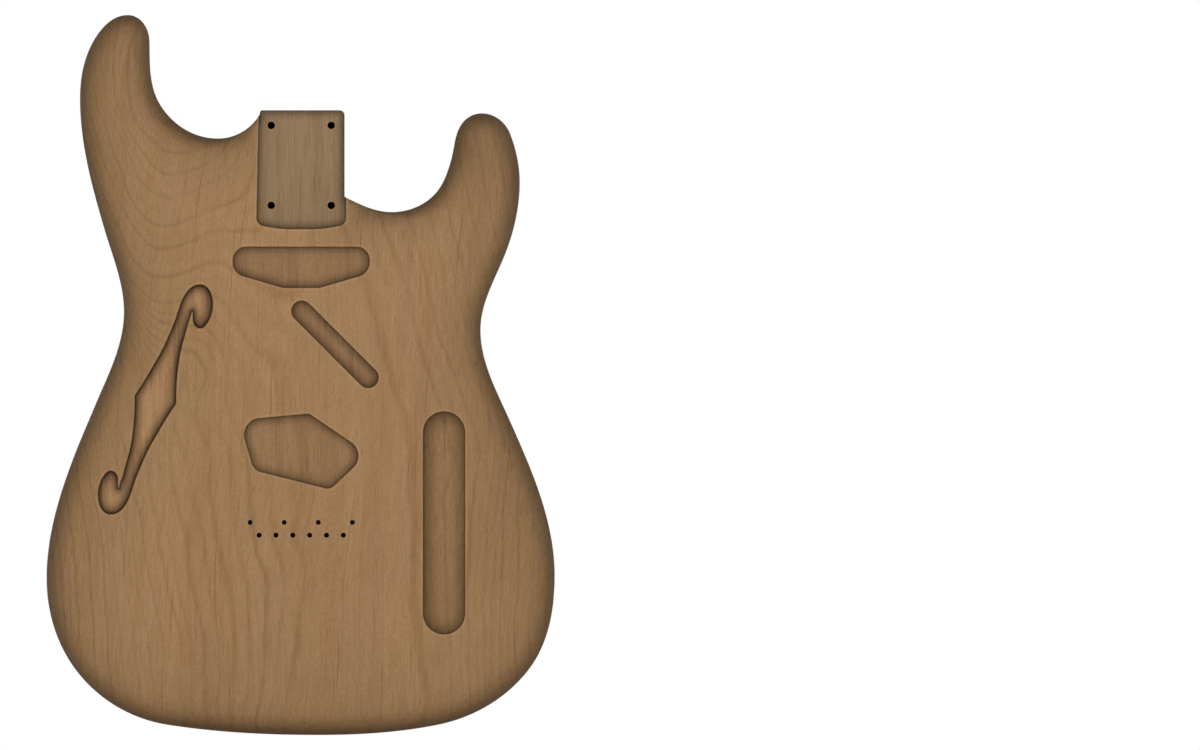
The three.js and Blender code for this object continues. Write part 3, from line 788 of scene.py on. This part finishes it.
def cavity_cutters():
    return {
        name: cutter(
            name, wall, FRONT - OVERRUN, floor, LIP_RADIUS, floor_seams=rows_beside(wall, FLOOR_ROWS)
        )
        for name, (wall, floor) in cavities().items()
    }


def places_in_row(count, spacing, height):
    return [((i - (count - 1) / 2) * spacing, height) for i in range(count)]


def bridge_screw_places():
    return places_in_row(BRIDGE_SCREW_COUNT, BRIDGE_SCREW_SPACING, BRIDGE_SCREW_HEIGHT)


def bridge_screw_holes():
    ends = (FRONT - OVERRUN, FRONT + BRIDGE_SCREW_DEPTH)
    return [
        round_hole("bridge_screw_hole", place, BRIDGE_SCREW_DIAMETER, *ends, HOLE_LIP_RADIUS)
        for place in bridge_screw_places()
    ]


def sound_hole():
    outline = sound_hole_outline()
    back = CORE_FRONT + OVERRUN
    return cutter("sound_hole", outline, FRONT - OVERRUN, back, SOUND_HOLE_LIP_RADIUS)


def string_places():
    return places_in_row(STRING_COUNT, STRING_SPACING, STRING_HEIGHT)


def string_holes():
    """The string holes, each with its ferrule's seat in the back."""
    ends = (FRONT - OVERRUN, BACK + OVERRUN)
    seat = (BACK - FERRULE_DEPTH, BACK + OVERRUN)
    holes = []
    for place in string_places():
        holes += [
            round_hole("string_hole", place, STRING_HOLE_DIAMETER, *ends, HOLE_LIP_RADIUS),
            round_hole("ferrule_seat", place, FERRULE_DIAMETER, *seat, 0, HOLE_LIP_RADIUS),
        ]
    return holes


def bass_edge_at(z):
    outline = curved_outline()
    crossings = []
    for a, b in zip(outline, outline[1:]):
        if a[1] != b[1] and 0 <= (z - a[1]) / (b[1] - a[1]) <= 1:
            crossings.append(a[0] + (z - a[1]) / (b[1] - a[1]) * (b[0] - a[0]))
    return min(crossings)


def sound_chamber():
    inner = SOUND_HOLE_OFFSET + SOUND_HOLE_WIDTH / 2 + CHAMBER_SIDE_MARGIN
    top = SOUND_HOLE_HEIGHT + SOUND_HOLE_LENGTH / 2 + CHAMBER_TOP_MARGIN
    bottom = SOUND_HOLE_HEIGHT - SOUND_HOLE_LENGTH / 2 - CHAMBER_BOTTOM_MARGIN
    corners = [(inner, top, CHAMBER_CORNER)]
    for share in CHAMBER_WALL_SHARES:
        z = bottom + share * (top - bottom)
        corner = CHAMBER_CORNER if share in (0, 1) else math.inf
        corners.append((bass_edge_at(z) + CHAMBER_RIM, z, corner))
    corners.append((inner, bottom, CHAMBER_CORNER))
    outline = densified(rounded_polygon(corners), GRID_STEP)
    seams = rows_beside(densified(sound_hole_outline(), SEAM_STEP), (0, *FLOOR_ROWS))
    floor = FRONT + CHAMBER_DEPTH
    return cutter("sound_chamber", outline, CORE_FRONT - OVERRUN, floor, floor_seams=seams)


def wiring_bores():
    slope = math.tan(math.radians(SLOT_ANGLE))

    def on_slot_line(z):
        return (SLOT_OFFSET + (z - SLOT_HEIGHT) / slope, WIRING_BORE_Y, z)

    start = on_slot_line(NECK_PICKUP_BOTTOM + NECK_PICKUP_SIDE / 2)
    end = on_slot_line(SLOT_HEIGHT + (CONTROL_OFFSET - SLOT_OFFSET) * slope)
    height = BRIDGE_PICKUP_HEIGHT + BRIDGE_PICKUP_SHARES[1][1] * BRIDGE_PICKUP_WIDTH / 2
    left, right = [(x, WIRING_BORE_Y, height) for x in (BRIDGE_PICKUP_OFFSET, CONTROL_OFFSET)]
    return [
        drilled("slot_bore", start, end, WIRING_BORE_DIAMETER),
        drilled("bridge_bore", left, right, WIRING_BORE_DIAMETER),
    ]


def jack_bore():
    height = CONTROL_HEIGHT - CONTROL_LENGTH / 2 + JACK_ABOVE_CONTROL_END
    start, end = [(x, 0, height) for x in (CONTROL_OFFSET, BODY_WIDTH / 2 + OVERRUN)]
    return drilled("jack_bore", start, end, JACK_BORE_DIAMETER)


def dowel_holes(seam):
    ends = (seam - DOWEL_HOLE_DEPTH, seam + DOWEL_HOLE_DEPTH)
    return [
        round_hole("dowel_hole", (0, z), DOWEL_HOLE_DIAMETER, *ends)
        for z in (UPPER_DOWEL_HEIGHT, LOWER_DOWEL_HEIGHT)
    ]


# Growth rings


def kernel(distance_squared):
    return distance_squared * np.log(distance_squared + TINY) / 2


def ring_field():
    """A smooth field that takes each ring's number along that ring."""
    pixels = np.array([point for _, points in RINGS for point in points])
    places = (pixels - [CENTRE_LINE_PIXEL, BUTT_PIXEL]) * [PIXEL, -PIXEL] / FIELD_UNIT
    numbers = [number for number, points in RINGS for _ in points]
    count = len(places)
    gaps = ((places[:, None] - places[None]) ** 2).sum(2)
    system = np.zeros((count + 3, count + 3))
    system[:count, :count] = kernel(gaps) + np.eye(count) * RING_STIFFNESS
    system[:count, count:] = np.column_stack([np.ones(count), places])
    system[count:, :count] = system[:count, count:].T
    solved = np.linalg.solve(system, np.array(numbers + [0, 0, 0], float))

    def field(points):
        at = np.asarray(points) / FIELD_UNIT
        found = solved[count] + at @ solved[count + 1 :]
        for place, weight in zip(places, solved[:count]):
            found = found + weight * kernel(((at - place) ** 2).sum(1))
        return found

    return field


# Painted shade and light, as in the photograph: how much darker or paler the wood's colour is painted
# near an edge, a wall or a lip: distance and shade

EDGE_SHADE = [
    (0, 0.34), (2, 0.4), (4, 0.46), (6, 0.54), (9, 0.65), (14, 0.79), (22, 0.87), (40, 0.93), (75, 1),
]
# Painted shade on the floors of the hollows, darkest at the foot of the walls
FLOOR_SHADE = [
    (0, 0.42), (0.6, 0.58), (1.3, 0.76), (2.2, 0.83), (3.4, 0.88), (4.6, 0.94), (6, 0.99), (8, 1),
]
# Painted shade on the neck pocket's floor along its open edge
OPEN_EDGE_SHADE = [
    (0.3, 0.3), (1.2, 0.46), (1.9, 0.54), (2.9, 0.7), (4.2, 0.83), (5.6, 0.93), (7.5, 1),
]
# Painted shade on the chamber floor near the sound hole's edge, and painted light in its middle
HOLE_FLOOR_SHADE_AND_LIGHT = [
    (0, 0.15), (0.6, 0.26), (1.3, 0.6), (2.2, 0.92), (3.4, 1.2), (4.4, 1.4), (8, 1.5),
]
# Painted highlight: a paler line on the face just beside each lip
LIP_SIDE_HIGHLIGHT = [(LIP_RADIUS, 1.16), (LIP_RADIUS + FACE_ROWS[0], 1.1), (LIP_RADIUS + FACE_ROWS[1], 1.0)]
# Painted shade on the walls of the hollows and on the body's sides
WALL_SHADE = 0.62
SIDE_SHADE = 0.68
SIDE_START_SHARE = 0.74

# The same with the distance as a share of the lip's or the hole's radius: a painted dark line and
# painted highlight on the lips, and painted shade inside the small holes and the ferrule seats
LIP_SHADE_AND_HIGHLIGHT = [(0, 0.28), (0.4, 0.45), (0.8, 1.08), (1, 1.16)]
BORE_SHADES = [(0, 0.03)]
SEAT_SHADES = [(0, 0.9), (1, 0.14)]
BORE_END_ROOM = 1

# Painted light: the floor under the sound hole's scrolls is painted paler; where that starts and ends
# is a share of its length
SCROLL_PAINTED_LIGHT = 1.06
SCROLL_START_SHARE = 0.2
SCROLL_END_SHARE = 0.4

# How much faster the painted dark edge fades than on a straight stretch: in the cutaways and
# waists, round the horns, and along the heel
EDGE_PACE = 1.05
HOLLOW_PACE = 14
TIP_PACE = 2
FOOT_PACE = 4.5
FOOT_PACE_START = 4
FOOT_PACE_END = 18
HEEL_PACE = 30
TURN_REACH = 20

# Softly darker or paler areas of the faces: place across and up in the drawing, reach and shade
SOFT_AREAS = [
    (125, 130, 45, 0.91),
    (118, 365, 30, 0.90),
    (-100, 400, 30, 0.94),
    (-15, 60, 30, 0.95),
    (-64, 333, 70, 1.07),
    (79, 295, 50, 1.07),
    (50, 190, 50, 1.05),
]


def interpolated(stops, distances):
    return np.interp(distances, *zip(*stops))


def edge_pace(outline):
    """How fast the painted dark edge fades at each point of the outline."""
    count = len(curved_outline())
    curved = outline[:count]
    travelled, from_heel = ways_along(curved)
    steps = curved[1:] - curved[:-1]
    heading = np.unwrap(np.arctan2(steps[:, 1], steps[:, 0]))
    middles = (travelled[1:] + travelled[:-1]) / 2
    before, after = [np.clip(travelled + way * TURN_REACH, 0, travelled[-1]) for way in (-1, 1)]
    turned = np.interp(after, middles, heading) - np.interp(before, middles, heading)
    turn = turned / (after - before)
    pace = EDGE_PACE - HOLLOW_PACE * np.minimum(turn, 0) - TIP_PACE * np.maximum(turn, 0)
    pace += (FOOT_PACE - pace) * (1 - smoothstep(from_heel, FOOT_PACE_START, FOOT_PACE_END))
    return np.concatenate([pace, np.full(len(outline) - count, HEEL_PACE)])


def bores():
    """Every small hole: its place, diameter, both ends and how dark its inside is painted from middle
    to wall, as painted shade.
    """
    seat = BACK - FERRULE_DEPTH
    found = [(p, NECK_SCREW_DIAMETER, POCKET_FLOOR, BACK, BORE_SHADES) for p in neck_screw_places()]
    for place in string_places():
        found.append((place, STRING_HOLE_DIAMETER, FRONT, seat, BORE_SHADES))
        found.append((place, FERRULE_DIAMETER, seat - BORE_END_ROOM, BACK, SEAT_SHADES))
    end = FRONT + BRIDGE_SCREW_DEPTH + BORE_END_ROOM
    found += [(p, BRIDGE_SCREW_DIAMETER, FRONT, end, BORE_SHADES) for p in bridge_screw_places()]
    return found


def hollows():
    """Every cavity, and the sound hole with the part of its chamber that shows: its name, outline,
    floor's depth, lip's radius, how far the floor goes on past the wall, and the floor's painted
    shades."""
    found = [
        (name, wall, floor, LIP_RADIUS, 0, FLOOR_SHADE) for name, (wall, floor) in cavities().items()
    ]
    depth = FRONT + CHAMBER_DEPTH
    hole = (sound_hole_outline(), depth, SOUND_HOLE_LIP_RADIUS, CHAMBER_SIDE_MARGIN, HOLE_FLOOR_SHADE_AND_LIGHT)
    return [*found, ("sound_hole", *hole)]


def painted_shade_of(points, outline, edge_radius):
    """Painted shade and light: how much darker or paler the wood is painted at each drawn point, as a
    share of its own colour.
    """
    flat, depth = points[:, [0, 2]], points[:, 1]
    shade = interpolated(EDGE_SHADE, distance_to(flat, outline, edge_pace(outline)))
    from_face = np.minimum(depth - FRONT, BACK - depth)
    radius = edge_radius[nearest(flat, outline)]
    shade += (SIDE_SHADE - shade) * smoothstep(from_face / radius, SIDE_START_SHARE, 1)
    for x, z, reach, share in SOFT_AREAS:
        shade *= 1 + (share - 1) * np.exp(-((flat - [x, z]) ** 2).sum(1) / reach**2)
    for name, wall, floor, lip, undercut, stops in hollows():
        to_wall = distance_to(flat, wall)
        within = inside(flat, wall) | (to_wall < TOUCH)
        beside = ~within & (depth < FRONT + TOUCH)
        shade[beside] *= interpolated(LIP_SIDE_HIGHLIGHT, to_wall[beside])
        on_lip = (to_wall < lip + TOUCH) & (depth < FRONT + lip + TOUCH)
        shade[on_lip] = interpolated(LIP_SHADE_AND_HIGHLIGHT, to_wall[on_lip] / lip)
        on_floor = (within | (to_wall < undercut)) & (np.abs(depth - floor) < TOUCH)
        shade[within & ~on_floor & ~on_lip & (depth < floor)] = WALL_SHADE
        shade[on_floor] = interpolated(stops, np.where(within, to_wall, 0)[on_floor])
        if name == "sound_hole":
            from_middle = np.abs(flat[on_floor, 1] - SOUND_HOLE_HEIGHT) / SOUND_HOLE_LENGTH
            on_scroll = smoothstep(from_middle, SCROLL_START_SHARE, SCROLL_END_SHARE)
            shade[on_floor] *= 1 + (SCROLL_PAINTED_LIGHT - 1) * on_scroll
        if name == "neck_pocket":
            to_edge = distance_to(flat[on_floor], outline)
            shade[on_floor] *= interpolated(OPEN_EDGE_SHADE, to_edge)
    for place, diameter, top, bottom, stops in bores():
        gap = np.hypot(*(flat - place).T)
        in_bore = (gap < diameter / 2 + TOUCH) & (depth > top + TOUCH) & (depth < bottom - TOUCH)
        shade[in_bore] = interpolated(stops, gap[in_bore] / diameter * 2)
    return shade


# Pieces


def carve(name, whole, block, cutters):
    """The part of the whole body inside a block, with cutters taken away."""
    piece = add_object(name, whole.data.copy())
    for operation, tool in [("INTERSECT", block), *(("DIFFERENCE", tool) for tool in cutters)]:
        cut = piece.modifiers.new("cut", "BOOLEAN")
        cut.operation, cut.solver, cut.object = operation, "MANIFOLD", tool
    graph = bpy.context.evaluated_depsgraph_get()
    mesh = bpy.data.meshes.new_from_object(piece.evaluated_get(graph))
    piece.modifiers.clear()
    piece.data = mesh
    return piece


def add_values(mesh, name, values):
    attribute = mesh.attributes.new(name, "FLOAT", "POINT")
    attribute.data.foreach_set("value", np.asarray(values, np.float32))


def finish_mesh(piece, material, field, outline, edge_radius):
    """Smooth shading with crisp corners, the ring numbers, the painted shade and light, and the
    material.
    """
    mesh = piece.data
    mesh.materials.clear()
    mesh.materials.append(material)
    mesh.polygons.foreach_set("use_smooth", [True] * len(mesh.polygons))
    mesh.set_sharp_from_angle(angle=math.radians(SHARP_DEGREES))
    co = np.zeros(len(mesh.vertices) * 3)
    mesh.vertices.foreach_get("co", co)
    drawn = co.reshape(-1, 3) / MM - SHIFT
    flat = drawn[:, [0, 2]]
    rings = field(flat)
    steepness = np.hypot(field(flat + [1, 0]) - rings, field(flat + [0, 1]) - rings)
    add_values(mesh, "ring", rings)
    add_values(mesh, "crowding", steepness)
    # The shade attribute is painted shade and light, multiplied into the wood's colour.
    add_values(mesh, "shade", painted_shade_of(drawn, outline, edge_radius))
    weighted = piece.modifiers.new("normals", "WEIGHTED_NORMAL")
    weighted.keep_sharp = True
    weighted.weight = FLAT_FACE_WEIGHT
    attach(piece, "root")


# Materials

# Sockets of a mix of two colours
MIX_SHARE, MIX_FIRST, MIX_SECOND, MIX_RESULT = 0, 6, 7, 2

# Wood that all the pieces share
NOISE_RANGE = (0.3, 0.7)
GLOSS = 0.2
RELIEF = 0.25
RELIEF_DEPTH = 0.0002
FIBRE_LEAN = 0.06
FIBRE_SWAY = 0.035
RING_WANDER = 0.26
RING_SHIVER = 0.22
STRONG_RING = 6.5

# Rings of the core planks: where the tree's heart lies, its lean, and the rings in a metre
HEART_OFFSET = 0.012
HEART_DEPTH = 0.16
HEART_LEAN = 0.03
CORE_RINGS = 210


def linear(*levels):
    """A colour given as the eye reads it, 0 to 255, as the shader wants it."""
    shares = [level / 255 for level in levels]
    return (*(s / 12.92 if s <= 0.04045 else ((s + 0.055) / 1.055) ** 2.4 for s in shares), 1.0)


class Nodes:
    """Short ways to add and join the nodes of a material or a world."""

    def __init__(self, owner):
        owner.use_nodes = True
        self.owner = owner
        self.tree = owner.node_tree

    def join(self, inputs, node):
        """Gives a node's sockets their numbers, colours or links."""
        for name, source in inputs.items():
            if isinstance(source, (int, float, tuple)):
                node.inputs[name].default_value = source
            else:
                self.tree.links.new(source, node.inputs[name])

    def add(self, kind, inputs, **settings):
        node = self.tree.nodes.new("ShaderNode" + kind)
        for name, value in settings.items():
            setattr(node, name, value)
        self.join(inputs, node)
        return node

    def shade(self, inputs, shader="Principled BSDF"):
        self.join(inputs, self.tree.nodes[shader])

    def math(self, operation, a, b=0.0):
        return self.add("Math", {0: a, 1: b}, operation=operation).outputs[0]

    plus = partialmethod(math, "ADD")
    minus = partialmethod(math, "SUBTRACT")
    times = partialmethod(math, "MULTIPLY")
    amount = partialmethod(math, "ABSOLUTE")

    def coordinates(self, kind="Object"):
        return self.add("TexCoord", {}).outputs[kind]

    def attribute(self, name):
        return self.add("Attribute", {}, attribute_name=name).outputs["Fac"]

    def split(self, vector):
        return self.add("SeparateXYZ", {0: vector}).outputs

    def noise(self, place, scale, detail, roughness=0.5):
        """Noise with its own scale along X, Y and Z, in waves to the metre."""
        stretched = self.add("VectorMath", {0: place, 1: scale}, operation="MULTIPLY").outputs[0]
        inputs = {"Vector": stretched, "Scale": 1.0, "Detail": detail, "Roughness": roughness}
        return self.add("TexNoise", inputs).outputs[0]

    def white(self, value):
        return self.add("TexWhiteNoise", {"W": value}, noise_dimensions="1D").outputs["Value"]

    def ramp(self, value, low, high, start=0.0, end=1.0):
        """A smooth step from start to end, as the value goes from low to high."""
        inputs = {"Value": value, "From Min": low, "From Max": high, "To Min": start, "To Max": end}
        return self.add("MapRange", inputs, interpolation_type="SMOOTHSTEP").outputs[0]

    def spread(self, noise, start=0.0, end=1.0):
        """The noise's usual range as a smooth step."""
        return self.ramp(noise, *NOISE_RANGE, start, end)

    def mix(self, share, a, b):
        inputs = {MIX_SHARE: share, MIX_FIRST: a, MIX_SECOND: b}
        return self.add("Mix", inputs, data_type="RGBA").outputs[MIX_RESULT]

    def stained(self, colour, stains):
        """The colour under its stains, each with its mask, strength and colour as the eye reads it."""
        for mask, strength, tone in stains:
            colour = self.mix(self.times(mask, strength), colour, linear(*tone))
        return colour

    def with_painted_shade(self, colour):
        """The colour times the painted shade and light that the mesh carries."""
        inputs = {0: colour, "Scale": self.attribute("shade")}
        return self.add("VectorMath", inputs, operation="SCALE").outputs[0]

    def strayed(self, value, noise, reach):
        return self.plus(value, self.times(self.minus(noise, 0.5), reach))

    def swayed(self, place):
        """The coordinates, moved sideways a little so that straight grain sways."""
        x, y, z = self.split(place)
        moved = self.strayed(x, self.noise(place, (9, 9, 6), 1), FIBRE_SWAY)
        moved = self.minus(moved, self.times(z, FIBRE_LEAN))
        return self.add("CombineXYZ", {0: moved, 1: y, 2: z}).outputs[0]

    def end_grain(self):
        """1 on surfaces that cut the fibres across."""
        return self.ramp(self.amount(self.split(self.coordinates("Normal"))[2]), 0.55, 0.95)

    def backdrop_rays(self):
        """1 for rays that show the backdrop: to the camera, in a reflection or through glass."""
        rays = self.add("LightPath", {}).outputs
        shown = self.math("MAXIMUM", rays["Is Camera Ray"], rays["Is Glossy Ray"])
        return self.math("MAXIMUM", shown, rays["Is Transmission Ray"])


def ring_strength(n, ring, place):
    """How strong the rings show: faint where they crowd, strong in the lower middle."""
    spread = n.ramp(n.attribute("crowding"), 0.12, 0.2, 1.0, 0.3)
    low = n.ramp(n.split(place)[2], -0.25, -0.20, 1.0, 0.0)
    near = n.ramp(n.amount(n.minus(ring, STRONG_RING)), 0.5, 0.9, 1.0, 0.0)
    extra = n.times(n.times(low, near), 0.6)
    later = n.ramp(ring, 4.5, 8.0, 1.0, 1.3)
    return n.times(n.times(spread, later), n.plus(extra, 1.0))


def ring_lines(n, ring, place):
    """How dark a growth ring's line and the wood before it are at each place, from 0 to 1."""
    moved = n.strayed(ring, n.noise(place, (60, 60, 9), 3), RING_WANDER)
    moved = n.strayed(moved, n.noise(place, (420, 420, 60), 2), RING_SHIVER)
    doubled = n.times(moved, 2.0)
    number = n.math("FLOOR", n.plus(doubled, 0.5))
    offset = n.minus(doubled, number)
    line = n.ramp(n.amount(offset), 0.0, 0.26, 1.0, 0.0)
    before = n.ramp(offset, -0.5, 0.0, 0.0, 1.0)
    after = n.ramp(offset, 0.0, 0.2, 1.0, 0.0)
    weak = n.times(n.amount(n.math("MODULO", number, 2.0)), 0.55)
    own = n.minus(n.ramp(n.white(number), 0.0, 1.0, 0.6, 1.0), weak)
    fade = n.ramp(n.noise(place, (25, 25, 14), 2), 0.3, 0.55, 0.25, 1.0)
    return n.times(line, n.times(own, fade)), n.times(n.times(before, after), own)


def finish_wood(n, colour, fibre, roughness, height, relief=RELIEF, gloss=GLOSS):
    bump = n.add("Bump", {"Height": height, "Strength": relief, "Distance": RELIEF_DEPTH})
    n.shade({
        "Base Color": colour,
        "Roughness": n.spread(fibre, *roughness),
        "Specular IOR Level": gloss,
        "Normal": bump.outputs[0],
    })
    return n.owner


def face_wood():
    """Bare sanded wood with growth rings, fine fibres, open pores and darker end grain, under painted
    shade and light.
    """
    n = Nodes(bpy.data.materials.new("face_wood"))
    place = n.coordinates()
    ring = n.attribute("ring")
    line, late = ring_lines(n, ring, place)
    strength = ring_strength(n, ring, place)
    grain = n.swayed(place)
    broad = n.spread(n.noise(place, (22, 22, 5), 3))
    fibre = n.noise(grain, (900, 900, 60), 3, 0.6)
    pores = n.ramp(n.noise(grain, (1200, 1200, 75), 1), 0.64, 0.76)
    colour = n.stained(n.mix(broad, linear(180, 141, 99), linear(189, 150, 107)), [
        (n.ramp(n.noise(grain, (230, 230, 10), 2), 0.35, 0.65), 0.65, (182, 143, 93)),
        (n.ramp(n.noise(grain, (75, 75, 4), 3), 0.45, 0.75), 0.22, (150, 104, 68)),
        (n.times(late, strength), 0.11, (138, 98, 56)),
        (n.times(line, strength), 0.26, (128, 90, 48)),
        (n.spread(fibre), 0.22, (142, 104, 66)),
        (n.spread(n.noise(grain, (1500, 1500, 420), 2)), 0.27, (130, 95, 62)),
        (pores, 0.34, (104, 68, 40)),
        (n.ramp(n.noise(grain, (620, 620, 10), 1), 0.65, 0.77), 0.36, (108, 72, 43)),
        (n.end_grain(), 0.3, (130, 92, 58)),
    ])
    height = n.minus(n.times(fibre, 0.5), pores)
    return finish_wood(n, n.with_painted_shade(colour), fibre, (0.60, 0.78), height)


def core_wood():
    """Straight-grained wood inside the body, with a greyer floor in the neck pocket, under painted
    shade and light.
    """
    n = Nodes(bpy.data.materials.new("core_wood"))
    place = n.coordinates()
    x, y, z = n.split(place)
    across = n.plus(n.plus(x, HEART_OFFSET), n.times(z, HEART_LEAN))
    deep = n.minus(y, HEART_DEPTH)
    from_heart = n.math("SQRT", n.plus(n.times(across, across), n.times(deep, deep)))
    line, late = ring_lines(n, n.times(from_heart, CORE_RINGS), place)
    broad = n.spread(n.noise(place, (30, 30, 5), 3))
    fibre = n.noise(place, (900, 900, 40), 3, 0.6)
    streaks = n.ramp(n.noise(place, (640, 640, 34), 2), 0.56, 0.76)
    colour = n.stained(n.mix(broad, linear(178, 137, 95), linear(188, 148, 103)), [
        (n.ramp(n.amount(y), 0.0003, 0.0006, 1.0, 0.0), 0.9, (169, 144, 109)),
        (n.ramp(n.noise(place, (170, 170, 6), 3), 0.42, 0.66), 0.3, (150, 106, 72)),
        (late, 0.06, (120, 84, 52)),
        (line, 0.2, (115, 80, 48)),
        (n.spread(fibre), 0.26, (132, 102, 68)),
        (n.spread(n.noise(place, (1500, 1500, 420), 2)), 0.26, (125, 96, 64)),
        (streaks, 0.34, (105, 76, 48)),
        (n.end_grain(), 0.3, (130, 94, 60)),
    ])
    return finish_wood(n, n.with_painted_shade(colour), fibre, (0.62, 0.8), n.minus(fibre, streaks))


def dowel_wood():
    """Pale, close-grained rod."""
    n = Nodes(bpy.data.materials.new("dowel_wood"))
    fibre = n.noise(n.coordinates(), (900, 60, 900), 3, 0.6)
    colour = n.mix(n.spread(fibre), linear(206, 176, 128), linear(184, 150, 104))
    return finish_wood(n, colour, fibre, (0.6, 0.75), fibre, relief=0.2, gloss=0.5)


# Build the body

materials = {"face": face_wood(), "core": core_wood(), "dowel": dowel_wood()}
body_outline, _, body_edge_radius = edged_outline()
whole = blank()
milled = cavity_cutters()
from_front = [*milled.values(), *bridge_screw_holes()]
through = [*neck_screw_holes(), *string_holes()]
front_dowel_holes = dowel_holes(CORE_FRONT)
back_dowel_holes = dowel_holes(CORE_BACK)
hidden = [*wiring_bores(), *front_dowel_holes, *back_dowel_holes, sound_chamber(), jack_bore()]
front_cuts = [*from_front, *through, sound_hole(), *front_dowel_holes]
back_cuts = [*through, *back_dowel_holes, milled["control_cavity"]]
core_cuts = [*from_front, *through, *hidden]
core = (CORE_FRONT, CORE_BACK)
pieces = {
    "front_board": ("face", slab("front_block", FRONT - OVERRUN, CORE_FRONT), front_cuts),
    "back_board": ("face", slab("back_block", CORE_BACK, BACK + OVERRUN), back_cuts),
    "core_plank_bass": ("core", slab("bass_block", *core, high=CORE_BASS_SEAM), core_cuts),
    "core_plank_middle": (
        "core", slab("middle_block", *core, CORE_BASS_SEAM, CORE_TREBLE_SEAM), core_cuts,
    ),
    "core_plank_treble": ("core", slab("treble_block", *core, CORE_TREBLE_SEAM), core_cuts),
}
field = ring_field()
tools = {whole}
for node, (kind, block, cutters) in pieces.items():
    piece = carve(node + "_wood", whole, block, cutters)
    finish_mesh(piece, materials[kind], field, body_outline, body_edge_radius)
    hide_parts(node)
    tools |= {block, *cutters}
for tool in tools:
    bpy.data.objects.remove(tool)

for name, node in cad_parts.items():
    if "dowel" in name:
        node.data.materials.clear()
        node.data.materials.append(materials["dowel"])


# Dark discs that stand in for the shade in the through holes (painted shade), in millimetres and as a
# share of the hole's diameter
DISC_DEPTH = 2
DISC_SPREAD = 1.05

# Floor, light and camera, in metres and watts
FLOOR_SIZE = 8
FLOOR_GLOW = 0.78
WORLD_LIGHT = 0.2
LAMP_DISTANCE = 4
LAMP_SIZE = 2.45
FACE_LAMP_POWER = 89
SIDE_LAMP_POWER = 18
MIDDLE = Vector((0, 0.0063, -0.1331))
CAMERA_OFFSET = 0.1897
CAMERA_DISTANCE = 2.5
VIEW_WIDTH = 0.762


def add_floor():
    bpy.ops.mesh.primitive_plane_add(size=FLOOR_SIZE, location=(0, 0, cad_box[0].z))
    floor = bpy.context.object
    floor.name = "floor"
    n = Nodes(bpy.data.materials.new("floor_paper"))
    n.shade({
        "Base Color": (0.8, 0.8, 0.8, 1),
        "Roughness": 0.9,
        "Specular IOR Level": 0.0,
        "Emission Color": (1, 1, 1, 1),
        "Emission Strength": n.times(n.backdrop_rays(), FLOOR_GLOW),
    })
    floor.data.materials.append(n.owner)
    # The lamps reach below the floor, so it casts no shadow and the part is lit evenly.
    floor.visible_shadow = False


def add_hole_shade_discs():
    """Dark discs half-way down the holes that go right through, painted shade that stands in for the
    holes' shadow so that no backdrop shows.
    """
    n = Nodes(bpy.data.materials.new("painted_hole_shade"))
    n.shade({"Base Color": (0, 0, 0, 1), "Roughness": 1.0, "Specular IOR Level": 0.0})
    places = [(place, NECK_SCREW_DIAMETER) for place in neck_screw_places()]
    places += [(place, STRING_HOLE_DIAMETER) for place in string_places()]
    for place, diameter in places:
        disc = round_hole("hole_shade_disc", place, diameter * DISC_SPREAD, 0, DISC_DEPTH)
        disc.data.materials.append(n.owner)


def add_lamp(name, across, deep, power):
    """A round lamp that looks at the middle of the body; its place counts lamp distances."""
    data = bpy.data.lights.new(name, "AREA")
    data.shape = "DISK"
    data.size = LAMP_SIZE
    data.energy = power
    lamp = add_object(name, data)
    lamp.location = (across * LAMP_DISTANCE, deep * LAMP_DISTANCE, MIDDLE.z)
    lamp.rotation_euler = (MIDDLE - lamp.location).to_track_quat("-Z", "Y").to_euler()
    lamp.visible_camera = False


def add_world():
    """A white world that lights the part only a little."""
    world = bpy.data.worlds.new("studio")
    bpy.context.scene.world = world
    n = Nodes(world)
    strength = n.ramp(n.backdrop_rays(), 0.0, 1.0, WORLD_LIGHT, 1.0)
    n.shade({"Color": (1, 1, 1, 1), "Strength": strength}, "Background")


def add_camera():
    data = bpy.data.cameras.new("camera")
    data.type = "ORTHO"
    data.ortho_scale = VIEW_WIDTH
    camera = add_object("camera", data)
    camera.location = (CAMERA_OFFSET, -CAMERA_DISTANCE, MIDDLE.z)
    camera.rotation_euler = (math.radians(90), 0, 0)
    bpy.context.scene.camera = camera


add_floor()
add_hole_shade_discs()
add_lamp("front_lamp", 0, -1, FACE_LAMP_POWER)
add_lamp("back_lamp", 0, 1, FACE_LAMP_POWER)
for side in (-1, 1):
    add_lamp("side_lamp", side, 0, SIDE_LAMP_POWER)
add_world()
add_camera()
bpy.context.scene.view_settings.view_transform = "Standard"
